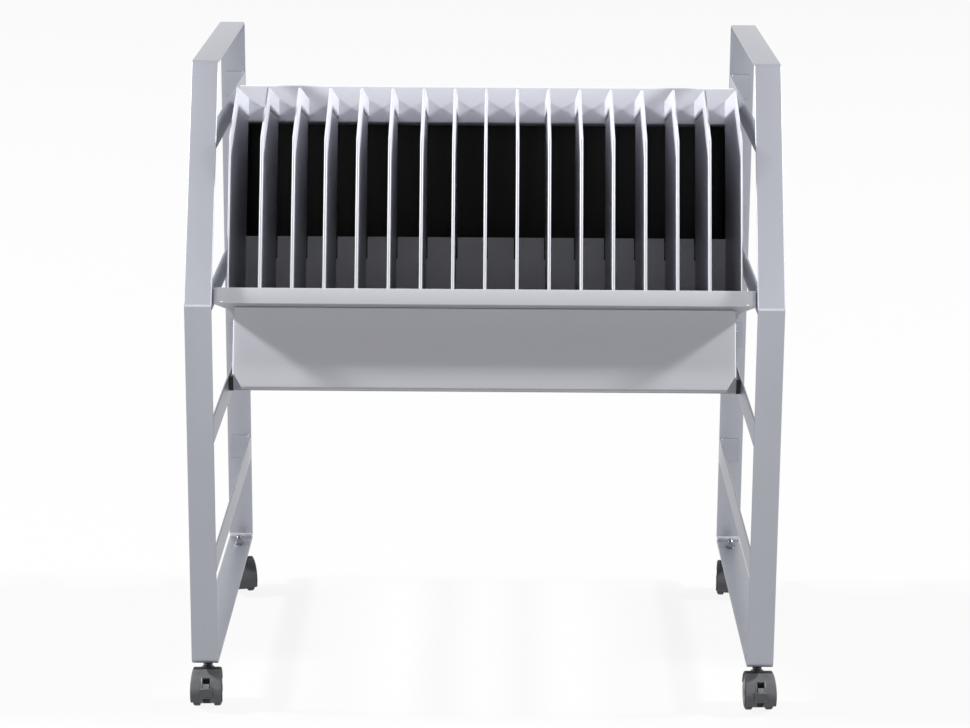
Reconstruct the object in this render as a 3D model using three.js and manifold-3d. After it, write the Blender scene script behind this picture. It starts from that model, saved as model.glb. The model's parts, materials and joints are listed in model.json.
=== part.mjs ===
// Open charging cart for sixteen tablets or slim laptops, in millimetres.
// +Z is up, the front faces -Y, and the origin is on the ground under the middle of the cart.
import * as THREE from "three";
import { mergeVertices } from "three/addons/utils/BufferGeometryUtils.js";
import Module from "manifold-3d";

const wasm = await Module();
wasm.setup();

// Clearances
const seatGap = 0.3;
const cutOverrun = 2;
const weldTolerance = 1e-4;

// Side frames, bent from flat bar
const overallWidth = 660;
const frameDepth = 463;
const frameHeight = 670;
const barWidth = 30;
const barThickness = 3;
const bendRadius = 5;
const postBendHeight = 419;
const postLeanRun = 131;

// Crossbars inside each side frame, from the bottom up
const upperCrossbarDrop = 62;
const crossbarTops = { bottom: 139, lower: 291, tray: 442, upper: frameHeight - upperCrossbarDrop };
const crossbarHeight = 30;
const crossbarThickness = 2;
const crossbarTabLength = 26;
const crossbarBendRadius = 3;

// Sheet metal of the tray
const trayTilt = THREE.MathUtils.degToRad(21.3);
const trayFrontY = 12;
const trayFrontHeight = 419.3;
const trayDepth = 218.5;
const sheetThickness = 1.2;
const lipHeight = 17.5;
const lipCornerRadius = 5;
const floorMargin = 2;
const gussetFront = 5;
const gussetDepth = 55;
const earDepth = 50;
const earRise = 8;

// Side walls and dividers stand in the tray
const wallMargin = 16;
const slotCount = 16;
const dividerThickness = 1.5;
const hemThickness = 3.4;
const wallHemThickness = 1.8;
const hemDepth = 24;
const dividerFrontHeight = 187;
const dividerChamferRun = 80;
const dividerPeakHeight = 260;
const dividerRearHeight = 277;
const hookLength = 5;
const hookHeight = 18;
const hookDrop = 4;

// Rear panel with the cable window
const panelMargin = 6.2;
const panelHeight = 293;
const panelThickness = 1.5;
const windowMargin = 0.5;
const windowBottom = 111;
const windowTop = 248.5;
const notchWidth = 4.2;
const notchDepth = 26;
const panelFlange = 12;

// Skirt below the front of the tray
const skirtMargin = 5;
const skirtSetback = 24;
const skirtHeight = 91;
const skirtFlange = 22;
const skirtReturn = 14;
const skirtChamferWidth = 10;
const skirtChamferHeight = 16.5;

// Cable compartment behind the panel
const housingMargin = 4.8;
const housingThickness = 1.5;
const housingBottom = 272;
const housingTopDrop = 19;
const housingBack = 428;
const housingFront = 187;
const spacerLength = 70;
const lowerSpacerHeight = 17.5;
const upperSpacerHeight = 10;
const upperSpacerFront = 330;
const coverFlange = 14;
const ventCount = 18;
const ventWidth = 5;
const ventHeight = 46;
const ventPitch = 14;
const ventBottom = 318;

// Power strip and mains inlet
const stripMargin = 25.2;
const stripDepth = 48;
const stripHeight = 36;
const stripSetback = 60;
const outletCount = 16;
const outletPitch = 32;
const outletWidth = 22;
const outletDepth = 30;
const outletRecess = 3;
const inletFlangeWidth = 48;
const inletFlangeHeight = 24;
const inletFlangeThickness = 2;
const inletBodyWidth = 30;
const inletBodyHeight = 20;
const inletBodyDepth = 22;
const inletMouthWidth = 24;
const inletMouthHeight = 15.5;
const inletMouthDepth = 15;
const inletPinWidth = 2;
const inletPinHeight = 5;
const inletPinLength = 10;
const inletPinSpacing = 7;
const inletRise = 58;
const inletSetback = 58;

// Twin-wheel casters
const casterHeight = 54.5;
const casterInset = 34;
const casterTrail = 17;
const wheelRadius = 20;
const wheelWidth = 9.6;
const wheelDome = 1.4;
const wheelShoulder = 2.2;
const hubRadius = 3.2;
const wheelGap = 0.7;
const casterBodyWidth = 14;
const roofCrownWidth = 32.4;
const roofBellyWidth = 36.8;
const roofInnerRadius = 21;
const roofOuterRadius = 24.3;
const roofEdgeRadius = 1.8;
const roofFrontDrop = 9;
const roofRearRise = 5;
const bodyRadius = 17.5;
const axleRadius = 2.5;
const axleCover = 2.6;
const runningGap = 0.35;
const stemRadius = 3.2;
const stemCollarRadius = 5.2;
const stemSocketRadius = 5.4;
const stemInsertion = 13;
const nutHeight = 7;
const nutAcrossFlats = 10.5;
const nutSides = 6;
const washerRadius = 6.2;
const washerThickness = 1.2;
const stemProjection = 2.5;

// How far each caster has swivelled, in degrees
const casterTurns = { front_left: 2, front_right: 2, rear_left: 12, rear_right: -2 };

// Brake pedal on the front casters
const pedalWidth = 14;
const pedalHeight = 11.5;
const pedalThickness = 3;
const pedalRise = 3.5;
const pedalGap = 1.2;
const pedalArmWidth = 7;
const pedalArmHeight = 5;
const pedalNeckRise = 4;
const pedalNeckDepth = 4.5;
const pedalPivotReach = 12;
const pedalPivotRise = 2;
const pedalKnuckleRadius = 3.4;
const pedalPinRadius = 1.5;
const pedalPinLength = 11;
const pedalSlotWidth = 8.2;
const pedalSlotRise = 18;

// Counts of facets
const bendSteps = 4;
const smallFacets = 16;
const roundFacets = 24;
const roofFacets = 18;

// Worked out from the sizes above
const innerHalfWidth = overallWidth / 2 - barWidth;
const trayHalfWidth = innerHalfWidth - seatGap;
const wallSpacing = 2 * (innerHalfWidth - wallMargin);
const slotPitch = wallSpacing / slotCount;
const panelWidth = 2 * (innerHalfWidth - panelMargin);
const windowWidth = wallSpacing - 2 * windowMargin;
const skirtWidth = wallSpacing - 2 * skirtMargin;
const housingWidth = 2 * (innerHalfWidth - housingMargin);
const housingTop = crossbarTops.upper - housingTopDrop;
const stripLength = housingWidth - 2 * stripMargin;
const inletHeight = housingBottom + inletRise;
const inletY = housingBack - inletSetback;
const casterX = overallWidth / 2 - barWidth / 2;

// Paints and plastics
function paint(color, roughness, metalness) {
  return new THREE.MeshStandardMaterial({ color, roughness, metalness });
}

const frameGrey = () => paint(0xb9bcc6, 0.45, 0.1);
const trayWhite = () => paint(0xf0f0f2, 0.4, 0.1);
const plasticBlack = () => paint(0x101012, 0.5, 0);
const casterGrey = () => paint(0x74767a, 0.5, 0);
const tyreGrey = () => paint(0x2c2d30, 0.7, 0);
const zinc = () => paint(0xa9abad, 0.35, 0.9);

// Joins and cuts
function toSolid(geometry) {
  const bare = geometry.index ? geometry.toNonIndexed() : geometry.clone();
  bare.deleteAttribute("normal");
  bare.deleteAttribute("uv");
  const merged = mergeVertices(bare, weldTolerance);
  return new wasm.Manifold(
    new wasm.Mesh({
      numProp: 3,
      vertProperties: new Float32Array(merged.attributes.position.array),
      triVerts: new Uint32Array(merged.index.array),
    }),
  );
}

function toGeometry(solid) {
  const made = solid.getMesh();
  const geometry = new THREE.BufferGeometry();
  geometry.setAttribute("position", new THREE.BufferAttribute(made.vertProperties, 3));
  geometry.setIndex(new THREE.BufferAttribute(made.triVerts, 1));
  const flat = geometry.toNonIndexed();
  flat.computeVertexNormals();
  return flat;
}

function join(...solids) {
  return solids.reduce((sum, solid) => sum.add(solid));
}

function cut(solid, ...tools) {
  return tools.reduce((rest, tool) => rest.subtract(tool), solid);
}

// Outlines
const point = (a, b) => new THREE.Vector2(a, b);

// Rounds the corners of a closed outline; a corner without a radius stays sharp.
function rounded(corners, radii, steps = bendSteps) {
  return corners.flatMap((corner, i) => {
    const radius = Array.isArray(radii) ? radii[i] : radii;
    if (!radius) return [corner.clone()];
    const before = corners[(i + corners.length - 1) % corners.length];
    const after = corners[(i + 1) % corners.length];
    const toBefore = before.clone().sub(corner).normalize();
    const toAfter = after.clone().sub(corner).normalize();
    const halfAngle = Math.acos(THREE.MathUtils.clamp(toBefore.dot(toAfter), -1, 1)) / 2;
    const centre = corner.clone().addScaledVector(
      toBefore.clone().add(toAfter).normalize(),
      radius / Math.sin(halfAngle),
    );
    const start = corner.clone().addScaledVector(toBefore, radius / Math.tan(halfAngle)).sub(centre);
    const end = corner.clone().addScaledVector(toAfter, radius / Math.tan(halfAngle)).sub(centre);
    const turn = Math.atan2(start.cross(end), start.dot(end));
    return Array.from({ length: steps + 1 }, (_, k) =>
      start.clone().rotateAround(point(0, 0), (turn * k) / steps).add(centre),
    );
  });
}

// Moves every side of a closed anticlockwise outline inwards, each by its own distance.
function inset(corners, distances) {
  const sides = corners.map((corner, i) => {
    const along = corners[(i + 1) % corners.length].clone().sub(corner).normalize();
    const distance = Array.isArray(distances) ? distances[i] : distances;
    return { from: corner.clone().addScaledVector(point(-along.y, along.x), distance), along };
  });
  return sides.map((side, i) => {
    const last = sides[(i + sides.length - 1) % sides.length];
    const reach = side.from.clone().sub(last.from).cross(side.along) / last.along.cross(side.along);
    return last.from.clone().addScaledVector(last.along, reach);
  });
}

// Solids
const toYZ = new THREE.Matrix4().makeBasis(
  new THREE.Vector3(0, 1, 0),
  new THREE.Vector3(0, 0, 1),
  new THREE.Vector3(1, 0, 0),
);
const toXZ = new THREE.Matrix4().makeBasis(
  new THREE.Vector3(1, 0, 0),
  new THREE.Vector3(0, 0, 1),
  new THREE.Vector3(0, -1, 0),
);

function extruded(outline, length, holes = []) {
  const shape = new THREE.Shape(outline);
  shape.holes = holes.map((hole) => new THREE.Path(hole));
  return new THREE.ExtrudeGeometry(shape, { depth: length, bevelEnabled: false });
}

// A prism along X from an outline of Y and Z.
function prismX(outline, x0, x1, holes) {
  return toSolid(extruded(outline, x1 - x0, holes).applyMatrix4(toYZ).translate(x0, 0, 0));
}

// A prism along Y from an outline of X and Z.
function prismY(outline, y0, y1, holes) {
  return toSolid(extruded(outline, y1 - y0, holes).applyMatrix4(toXZ).translate(0, y1, 0));
}

// A prism along Z from an outline of X and Y.
function prismZ(outline, z0, z1, holes) {
  return toSolid(extruded(outline, z1 - z0, holes).translate(0, 0, z0));
}

function block(x0, x1, y0, y1, z0, z1) {
  const box = new THREE.BoxGeometry(x1 - x0, y1 - y0, z1 - z0);
  return toSolid(box.translate((x0 + x1) / 2, (y0 + y1) / 2, (z0 + z1) / 2));
}

const rectangle = (a0, a1, b0, b1) => [point(a0, b0), point(a1, b0), point(a1, b1), point(a0, b1)];

// A round solid about Z through x, y, from a profile of radius and height.
function turnedZ(profile, x, y, facets = smallFacets) {
  return toSolid(new THREE.LatheGeometry(profile, facets).rotateX(Math.PI / 2).translate(x, y, 0));
}

// A round solid about X through y, z, from a profile of radius and distance along X.
function turnedX(profile, y, z, facets = roundFacets) {
  return toSolid(new THREE.LatheGeometry(profile, facets).rotateZ(-Math.PI / 2).translate(0, y, z));
}

const rod = (radius, a, b) => [point(0, a), point(radius, a), point(radius, b), point(0, b)];

// Side frames
const frameOutline = [
  point(0, 0),
  point(frameDepth, 0),
  point(frameDepth, frameHeight),
  point(postLeanRun, frameHeight),
  point(0, postBendHeight),
];
const casterYs = { front: casterInset, rear: frameDepth - casterInset };
const sides = { left: -1, right: 1 };

function sideFrame(side) {
  const outer = rounded(frameOutline, bendRadius + barThickness);
  const inner = rounded(inset(frameOutline, barThickness), bendRadius);
  const x = side * (overallWidth / 2);
  const inside = side * innerHalfWidth;
  const loop = prismX(outer, Math.min(x, inside), Math.max(x, inside), [inner]);
  const holes = Object.values(casterYs).map((y) =>
    turnedZ(rod(stemRadius + seatGap, -cutOverrun, barThickness + cutOverrun), side * casterX, y),
  );
  return cut(loop, ...holes);
}

// How far the back face of the front post lies behind its lower part, at a height.
const postLean = Math.atan2(postLeanRun, frameHeight - postBendHeight);
const postBackBendHeight = inset(frameOutline, barThickness).at(-1).y;
function postBack(z) {
  return Math.max(0, z - postBackBendHeight) * Math.tan(postLean);
}

// A crossbar is a strip on edge whose ends turn outwards behind the posts.
function crossbar(side, top) {
  const bottom = top - crossbarHeight;
  const front = barThickness + seatGap;
  const rear = frameDepth - barThickness - seatGap;
  const face = innerHalfWidth;
  const tabEnd = innerHalfWidth + crossbarTabLength;
  const t = crossbarThickness;
  const outerBend = crossbarBendRadius + t;
  const corners = [
    point(tabEnd, front),
    point(tabEnd, front + t),
    point(face + t, front + t),
    point(face + t, rear - t),
    point(tabEnd, rear - t),
    point(tabEnd, rear),
    point(face, rear),
    point(face, front),
  ];
  const radii = [0, 0, crossbarBendRadius, crossbarBendRadius, 0, 0, outerBend, outerBend];
  const plan = rounded(corners, radii).map((p) => point(side * p.x, p.y));
  const outline = side < 0 ? plan.reverse() : plan;
  const bendZ = THREE.MathUtils.clamp(postBackBendHeight, bottom, top);
  const levels = [...new Set([bottom, bendZ, top])];
  return stacked(outline, levels, (p, z) =>
    p.y < frameDepth / 2 ? point(p.x, p.y + postBack(z)) : p,
  );
}

// A prism along Z with a ring of corners at each level, moved by the level's own rule.
function stacked(outline, levels, place) {
  const rings = levels.map((z) =>
    outline.map((p) => {
      const moved = place(p, z);
      return [moved.x, moved.y, z];
    }),
  );
  return skinned(rings, outline);
}

// A solid skinned over rings of corners, each [x, y, z], with ends cut up as the outline is.
function skinned(rings, outline) {
  const count = outline.length;
  const cap = THREE.ShapeUtils.triangulateShape(outline, []);
  const lastRing = (rings.length - 1) * count;
  const triangles = [
    ...cap.flatMap(([a, b, c]) => [a, c, b]),
    ...cap.flatMap(([a, b, c]) => [lastRing + a, lastRing + b, lastRing + c]),
  ];
  for (let ring = 0; ring < rings.length - 1; ring += 1) {
    for (let i = 0; i < count; i += 1) {
      const a = ring * count + i;
      const b = ring * count + ((i + 1) % count);
      triangles.push(a, b, b + count, a, b + count, a + count);
    }
  }
  const geometry = new THREE.BufferGeometry();
  geometry.setAttribute("position", new THREE.Float32BufferAttribute(rings.flat(2), 3));
  geometry.setIndex(triangles);
  return toSolid(geometry);
}

// Tray, in its own tilted frame: Y runs back along the floor and Z stands square to it.
// The floor is as wide as the walls stand, and the lip's two wings reach out to the crossbars.
function trayPan() {
  const w = trayHalfWidth;
  const narrow = wallSpacing / 2 + floorMargin;
  const back = trayDepth + panelThickness + seatGap;
  const plan = [
    point(-w, 0),
    point(w, 0),
    point(w, gussetFront),
    point(narrow, gussetDepth),
    point(narrow, back),
    point(-narrow, back),
    point(-narrow, gussetDepth),
    point(-w, gussetFront),
  ];
  const wingRadius = lipCornerRadius - seatGap;
  const floor = prismZ(rounded(plan, [wingRadius, wingRadius, 0, 0, 0, 0, 0, 0]), 0, sheetThickness);
  const t = sheetThickness;
  const inner = lipCornerRadius - t;
  const rim = [
    point(-w, 0),
    point(w, 0),
    point(w, earDepth),
    point(w - t, earDepth),
    point(w - t, t),
    point(t - w, t),
    point(t - w, earDepth),
    point(-w, earDepth),
  ];
  const rimRadii = [lipCornerRadius, lipCornerRadius, 0, 0, inner, inner, 0, 0];
  const earUndercut = prismX(
    [
      point(lipCornerRadius, -cutOverrun),
      point(earDepth + cutOverrun, -cutOverrun),
      point(earDepth + cutOverrun, earRise),
      point(lipCornerRadius, sheetThickness),
    ],
    -w - cutOverrun,
    w + cutOverrun,
  );
  return join(floor, cut(prismZ(rounded(rim, rimRadii), 0, lipHeight), earUndercut));
}

const standFront = sheetThickness + seatGap;
const standBottom = sheetThickness + seatGap;
const standBack = trayDepth - seatGap;

function dividerOutline() {
  return [
    point(standFront, standBottom),
    point(standBack, standBottom),
    point(standBack, dividerRearHeight),
    point(dividerChamferRun, dividerPeakHeight),
    point(standFront, dividerFrontHeight),
  ];
}

// A divider is a thin plate whose front and top edges are folded over, with a hook at the back.
function divider(x, foldThickness, hooked) {
  const outline = dividerOutline();
  const plate = prismX(outline, x - dividerThickness / 2, x + dividerThickness / 2);
  const core = inset(outline, [0, 0, hemDepth, hemDepth, hemDepth]);
  const band = [outline[0], core[0], core[4], core[3], core[2], outline[2], outline[3], outline[4]];
  const hem = prismX(band, x - foldThickness / 2, x + foldThickness / 2);
  if (!hooked) return join(plate, hem);
  const hookTop = windowBottom - hookDrop;
  const hook = block(
    x - dividerThickness / 2,
    x + dividerThickness / 2,
    standBack - seatGap,
    trayDepth + panelThickness + hookLength,
    hookTop - hookHeight,
    hookTop,
  );
  return join(plate, hem, hook);
}

const dividerXs = Array.from({ length: slotCount - 1 }, (_, i) => (i + 1) * slotPitch - wallSpacing / 2);

function rearPanel() {
  const halfWidth = panelWidth / 2;
  const halfWindow = windowWidth / 2;
  const face = rectangle(-halfWidth, halfWidth, standBottom, panelHeight);
  const back = trayDepth + panelThickness;
  const sheet = prismY(face, trayDepth, back, [
    rectangle(-halfWindow, halfWindow, windowBottom, windowTop).reverse(),
  ]);
  const topFlange = block(
    -halfWidth,
    halfWidth,
    trayDepth,
    back + panelFlange,
    panelHeight - panelThickness,
    panelHeight,
  );
  const windowFlange = block(
    -halfWindow,
    halfWindow,
    trayDepth,
    back + panelFlange,
    windowTop,
    windowTop + panelThickness,
  );
  const notches = dividerXs.map((x) =>
    block(
      x - notchWidth / 2,
      x + notchWidth / 2,
      trayDepth - cutOverrun,
      back + cutOverrun,
      windowBottom - notchDepth,
      windowBottom + cutOverrun,
    ),
  );
  return cut(join(sheet, topFlange, windowFlange), ...notches);
}

function skirt() {
  const w = skirtWidth / 2;
  const t = sheetThickness;
  const top = -seatGap;
  const bottom = top - skirtHeight;
  const front = skirtSetback;
  const face = [
    point(-w, bottom + skirtChamferHeight),
    point(skirtChamferWidth - w, bottom),
    point(w - skirtChamferWidth, bottom),
    point(w, bottom + skirtChamferHeight),
    point(w, top),
    point(-w, top),
  ];
  const apron = prismY(face, front, front + t);
  const mountingFlange = block(-w, w, front, front + skirtFlange, top - t, top);
  const footFlange = block(
    skirtChamferWidth - w,
    w - skirtChamferWidth,
    front,
    front + skirtReturn,
    bottom,
    bottom + t,
  );
  const returns = Object.values(sides).map((side) =>
    block(
      Math.min(side * w, side * (w - t)),
      Math.max(side * w, side * (w - t)),
      front,
      front + skirtReturn,
      bottom + skirtChamferHeight,
      top,
    ),
  );
  return join(apron, mountingFlange, footFlange, ...returns);
}

// A place in the tray's frame, as Y and Z of the cart above the bottom of the side frames.
function fromTray(along, above) {
  return point(
    trayFrontY + along * Math.cos(trayTilt) + above * Math.sin(trayTilt),
    trayFrontHeight - along * Math.sin(trayTilt) + above * Math.cos(trayTilt),
  );
}

// Where the back face of the rear panel, with its seat gap, passes a height.
function panelBackY(z) {
  const foot = fromTray(trayDepth + panelThickness + seatGap, 0);
  return foot.x + (z - foot.y) * Math.tan(trayTilt);
}

// The compartment is a sheet tube, open to the panel in front and to the cover behind.
function compartmentOutline() {
  const trayBack = fromTray(trayDepth + panelThickness + 2 * seatGap, -seatGap);
  return [
    point(housingFront, housingBottom),
    point(housingBack, housingBottom),
    point(housingBack, housingTop),
    point(panelBackY(housingTop), housingTop),
    point(trayBack.x, trayBack.y),
    point(housingFront, trayBack.y + (trayBack.x - housingFront) * Math.tan(trayTilt)),
  ];
}

// Spacers on the end walls, by which the compartment is screwed to the lower and upper crossbars.
function housingSpacers(side) {
  const wall = side * (housingWidth / 2 - housingThickness);
  const seat = side * (innerHalfWidth - seatGap);
  const across = [Math.min(wall, seat), Math.max(wall, seat)];
  const lowerEnd = housingFront + spacerLength;
  const upperEnd = upperSpacerFront + spacerLength;
  return [
    block(...across, housingFront, lowerEnd, housingBottom, housingBottom + lowerSpacerHeight),
    block(...across, upperSpacerFront, upperEnd, housingTop - upperSpacerHeight, housingTop),
  ];
}

function rearHousing() {
  const outline = compartmentOutline();
  const w = housingWidth / 2;
  const t = housingThickness;
  const core = inset(outline, [t, -cutOverrun, t, -cutOverrun, t, t]);
  const shell = cut(prismX(outline, -w, w), prismX(core, t - w, w - t));
  const inletCut = block(
    w - t - cutOverrun,
    w + cutOverrun,
    inletY - inletBodyWidth / 2 - seatGap,
    inletY + inletBodyWidth / 2 + seatGap,
    inletHeight - inletBodyHeight / 2 - seatGap,
    inletHeight + inletBodyHeight / 2 + seatGap,
  );
  const spacers = Object.values(sides).flatMap(housingSpacers);
  return cut(join(shell, ...spacers), inletCut);
}

function rearCover() {
  const t = housingThickness;
  const w = housingWidth / 2;
  const back = housingBack + seatGap + t;
  const plate = block(-w, w, back - t, back, housingBottom, housingTop);
  const rim = {
    x: w - t - seatGap,
    bottom: housingBottom + t + seatGap,
    top: housingTop - t - seatGap,
  };
  const flange = prismY(
    rectangle(-rim.x, rim.x, rim.bottom, rim.top),
    housingBack - coverFlange,
    back - t,
    [rectangle(t - rim.x, rim.x - t, rim.bottom + t, rim.top - t).reverse()],
  );
  const vents = Array.from({ length: ventCount }, (_, i) => {
    const x = (i - (ventCount - 1) / 2) * ventPitch;
    return block(
      x - ventWidth / 2,
      x + ventWidth / 2,
      back - t - cutOverrun,
      back + cutOverrun,
      ventBottom,
      ventBottom + ventHeight,
    );
  });
  return cut(join(plate, flange), ...vents);
}

function powerStrip() {
  const bottom = housingBottom + housingThickness + seatGap;
  const top = bottom + stripHeight;
  const y1 = housingBack - stripSetback;
  const y0 = y1 - stripDepth;
  const body = block(-stripLength / 2, stripLength / 2, y0, y1, bottom, top);
  const middle = (y0 + y1) / 2;
  const recesses = Array.from({ length: outletCount }, (_, i) => {
    const x = (i - (outletCount - 1) / 2) * outletPitch;
    return block(
      x - outletWidth / 2,
      x + outletWidth / 2,
      middle - outletDepth / 2,
      middle + outletDepth / 2,
      top - outletRecess,
      top + cutOverrun,
    );
  });
  return cut(body, ...recesses);
}

function powerInlet() {
  const wall = housingWidth / 2;
  const outer = wall + seatGap + inletFlangeThickness;
  const centred = (width, height) =>
    rectangle(
      inletY - width / 2,
      inletY + width / 2,
      inletHeight - height / 2,
      inletHeight + height / 2,
    );
  const flange = prismX(centred(inletFlangeWidth, inletFlangeHeight), wall + seatGap, outer);
  const body = prismX(centred(inletBodyWidth, inletBodyHeight), outer - inletBodyDepth, outer);
  const mouth = prismX(
    centred(inletMouthWidth, inletMouthHeight),
    outer - inletMouthDepth,
    outer + cutOverrun,
  );
  const root = outer - inletMouthDepth - seatGap;
  const pins = [-1, 0, 1].map((place) =>
    prismX(
      rectangle(
        inletY + place * inletPinSpacing - inletPinWidth / 2,
        inletY + place * inletPinSpacing + inletPinWidth / 2,
        inletHeight - inletPinHeight / 2,
        inletHeight + inletPinHeight / 2,
      ),
      root,
      root + inletPinLength,
    ),
  );
  return join(cut(join(flange, body), mouth), ...pins);
}

// Caster, about its stem: the axle lies in front of the stem, and zero height is the ground.
const roofTop = wheelRadius + roofOuterRadius;
const stemFoot = roofTop - stemInsertion;

function casterStem() {
  const thread = casterHeight + barThickness + washerThickness + nutHeight + stemProjection;
  const profile = [
    point(0, stemFoot),
    point(stemRadius, stemFoot),
    point(stemRadius, roofTop + seatGap),
    point(stemCollarRadius, roofTop + seatGap),
    point(stemCollarRadius, casterHeight - seatGap),
    point(stemRadius, casterHeight - seatGap),
    point(stemRadius, thread),
    point(0, thread),
  ];
  return turnedZ(profile, 0, 0);
}

function casterNut() {
  const seat = casterHeight + barThickness + seatGap;
  const hexRadius = nutAcrossFlats / 2 / Math.cos(Math.PI / nutSides);
  const washerTop = seat + washerThickness;
  const washer = turnedZ(rod(washerRadius, seat, washerTop), 0, 0, roundFacets);
  const hexTop = washerTop + nutHeight - seatGap;
  const hexagon = turnedZ(rod(hexRadius, washerTop - seatGap, hexTop), 0, 0, nutSides);
  const bore = turnedZ(rod(stemRadius + seatGap, seat - cutOverrun, hexTop + cutOverrun), 0, 0);
  return cut(join(washer, hexagon), bore);
}

// The roof's section at an angle about the axle: X across and radius outwards, with rounded outer edges.
// It is narrow over the stem and widest at axle height in front.
function roofSection(angle) {
  const share = Math.sin(Math.max(angle - Math.PI / 2, 0));
  const half = THREE.MathUtils.lerp(roofCrownWidth, roofBellyWidth, share) / 2;
  const corners = [
    point(-half, roofInnerRadius),
    point(half, roofInnerRadius),
    point(half, roofOuterRadius),
    point(-half, roofOuterRadius),
  ];
  return rounded(corners, [0, 0, roofEdgeRadius, roofEdgeRadius]);
}

function casterRoof() {
  const rearAngle = Math.asin(roofRearRise / roofOuterRadius);
  const frontAngle = Math.PI + Math.asin(roofFrontDrop / roofOuterRadius);
  const rings = Array.from({ length: roofFacets + 1 }, (_, i) => {
    const angle = THREE.MathUtils.lerp(rearAngle, frontAngle, i / roofFacets);
    return roofSection(angle).map((p) => [
      p.x,
      Math.cos(angle) * p.y - casterTrail,
      Math.sin(angle) * p.y + wheelRadius,
    ]);
  });
  return skinned(rings, roofSection(rearAngle));
}

const pedalPivot = {
  y: -casterTrail - pedalPivotReach,
  z: wheelRadius + pedalPivotRise,
};

function casterHousing(braked) {
  const w = casterBodyWidth / 2;
  const hub = turnedX(rod(bodyRadius, -w, w), -casterTrail, wheelRadius, roundFacets);
  const tower = block(-w, w, -casterTrail, stemSocketRadius, wheelRadius, stemFoot + stemInsertion / 2);
  const crown = roofTop - roofInnerRadius - wheelRadius;
  const socket = turnedZ(rod(stemSocketRadius, stemFoot - crown, roofTop), 0, 0, roundFacets);
  const neck = block(
    -w,
    w,
    -casterTrail - bodyRadius / 2,
    0,
    wheelRadius + bodyRadius / 2,
    wheelRadius + roofInnerRadius + seatGap,
  );
  const solid = join(casterRoof(), hub, tower, socket, neck);
  const axleBore = turnedX(
    rod(axleRadius + seatGap, -roofBellyWidth, roofBellyWidth),
    -casterTrail,
    wheelRadius,
    smallFacets,
  );
  const stemBore = turnedZ(rod(stemRadius + runningGap, stemFoot - seatGap, roofTop + cutOverrun), 0, 0);
  const bored = cut(solid, axleBore, stemBore);
  return braked ? cut(bored, ...pedalRoom()) : bored;
}

// The slot in the roof and the fork in the body that the pedal's arm moves in.
function pedalRoom() {
  const w = pedalSlotWidth / 2;
  const front = -casterTrail - roofOuterRadius - cutOverrun;
  const knuckleRoom = pedalKnuckleRadius + 2 * runningGap;
  const slot = block(
    -w,
    w,
    front,
    pedalPivot.y + knuckleRoom,
    wheelRadius - roofFrontDrop - cutOverrun,
    wheelRadius + pedalSlotRise,
  );
  const pinBore = turnedX(
    rod(pedalPinRadius + runningGap, -pedalPinLength / 2 - runningGap, pedalPinLength / 2 + runningGap),
    pedalPivot.y,
    pedalPivot.z,
    smallFacets,
  );
  return [slot, pinBore];
}

function brakePedal() {
  const roofFace = -casterTrail - roofOuterRadius - pedalGap;
  const padTop = wheelRadius + pedalHeight / 2 + pedalRise;
  const pad = block(
    -pedalWidth / 2,
    pedalWidth / 2,
    roofFace - pedalThickness,
    roofFace,
    padTop - pedalHeight,
    padTop,
  );
  const armBottom = pedalPivot.z - pedalArmHeight / 2;
  const armSide = [
    point(roofFace - pedalThickness, armBottom),
    point(pedalPivot.y, armBottom),
    point(pedalPivot.y, armBottom + pedalArmHeight),
    point(roofFace + pedalNeckDepth, padTop + pedalNeckRise),
    point(roofFace - pedalThickness, padTop),
  ];
  const arm = prismX(armSide, -pedalArmWidth / 2, pedalArmWidth / 2);
  const knuckle = turnedX(
    rod(pedalKnuckleRadius, -pedalArmWidth / 2, pedalArmWidth / 2),
    pedalPivot.y,
    pedalPivot.z,
    smallFacets,
  );
  const pin = turnedX(
    rod(pedalPinRadius, -pedalPinLength / 2, pedalPinLength / 2),
    pedalPivot.y,
    pedalPivot.z,
    smallFacets,
  );
  return join(pad, arm, knuckle, pin);
}

const wheelInside = casterBodyWidth / 2 + wheelGap;

function casterAxle() {
  const half = wheelInside + wheelWidth - axleCover - seatGap;
  return turnedX(rod(axleRadius, -half, half), -casterTrail, wheelRadius, smallFacets);
}

// A wheel with a domed outer face, a rounded tread and a blind bore for the axle.
function casterWheel(side) {
  const a = wheelInside;
  const b = wheelInside + wheelWidth;
  const bore = axleRadius + seatGap;
  const profile = [
    point(0, b - axleCover),
    point(bore, b - axleCover),
    point(bore, a),
    point(wheelRadius - wheelShoulder, a),
    point(wheelRadius, a + wheelShoulder / 2),
    point(wheelRadius, b - wheelDome - wheelShoulder),
    point(wheelRadius - wheelShoulder / 2, b - wheelDome - wheelShoulder / 2),
    point(wheelRadius - wheelShoulder, b - wheelDome),
    point(wheelRadius - 2 * wheelShoulder, b - wheelDome),
    point(wheelRadius - 2 * wheelShoulder, b - 2 * wheelDome),
    point(hubRadius * 2, b - wheelDome / 2),
    point(hubRadius, b),
    point(0, b),
  ];
  const outward = side > 0 ? profile : profile.map((p) => point(p.x, -p.y)).reverse();
  return turnedX(outward, -casterTrail, wheelRadius);
}

// Assembly
function named(name, solid, material) {
  const mesh = new THREE.Mesh(toGeometry(solid), material);
  mesh.name = name;
  return mesh;
}

function frameGroup() {
  const group = new THREE.Group();
  for (const [sideName, side] of Object.entries(sides)) {
    group.add(named(`side_frame_${sideName}`, sideFrame(side), frameGrey()));
    for (const [level, top] of Object.entries(crossbarTops)) {
      group.add(named(`crossbar_${level}_${sideName}`, crossbar(side, top), frameGrey()));
    }
  }
  group.add(named("rear_housing", rearHousing(), trayWhite()));
  group.add(named("rear_cover", rearCover(), trayWhite()));
  group.add(named("power_strip", powerStrip(), plasticBlack()));
  group.add(named("power_inlet", powerInlet(), plasticBlack()));
  group.position.z = casterHeight;
  return group;
}

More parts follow.
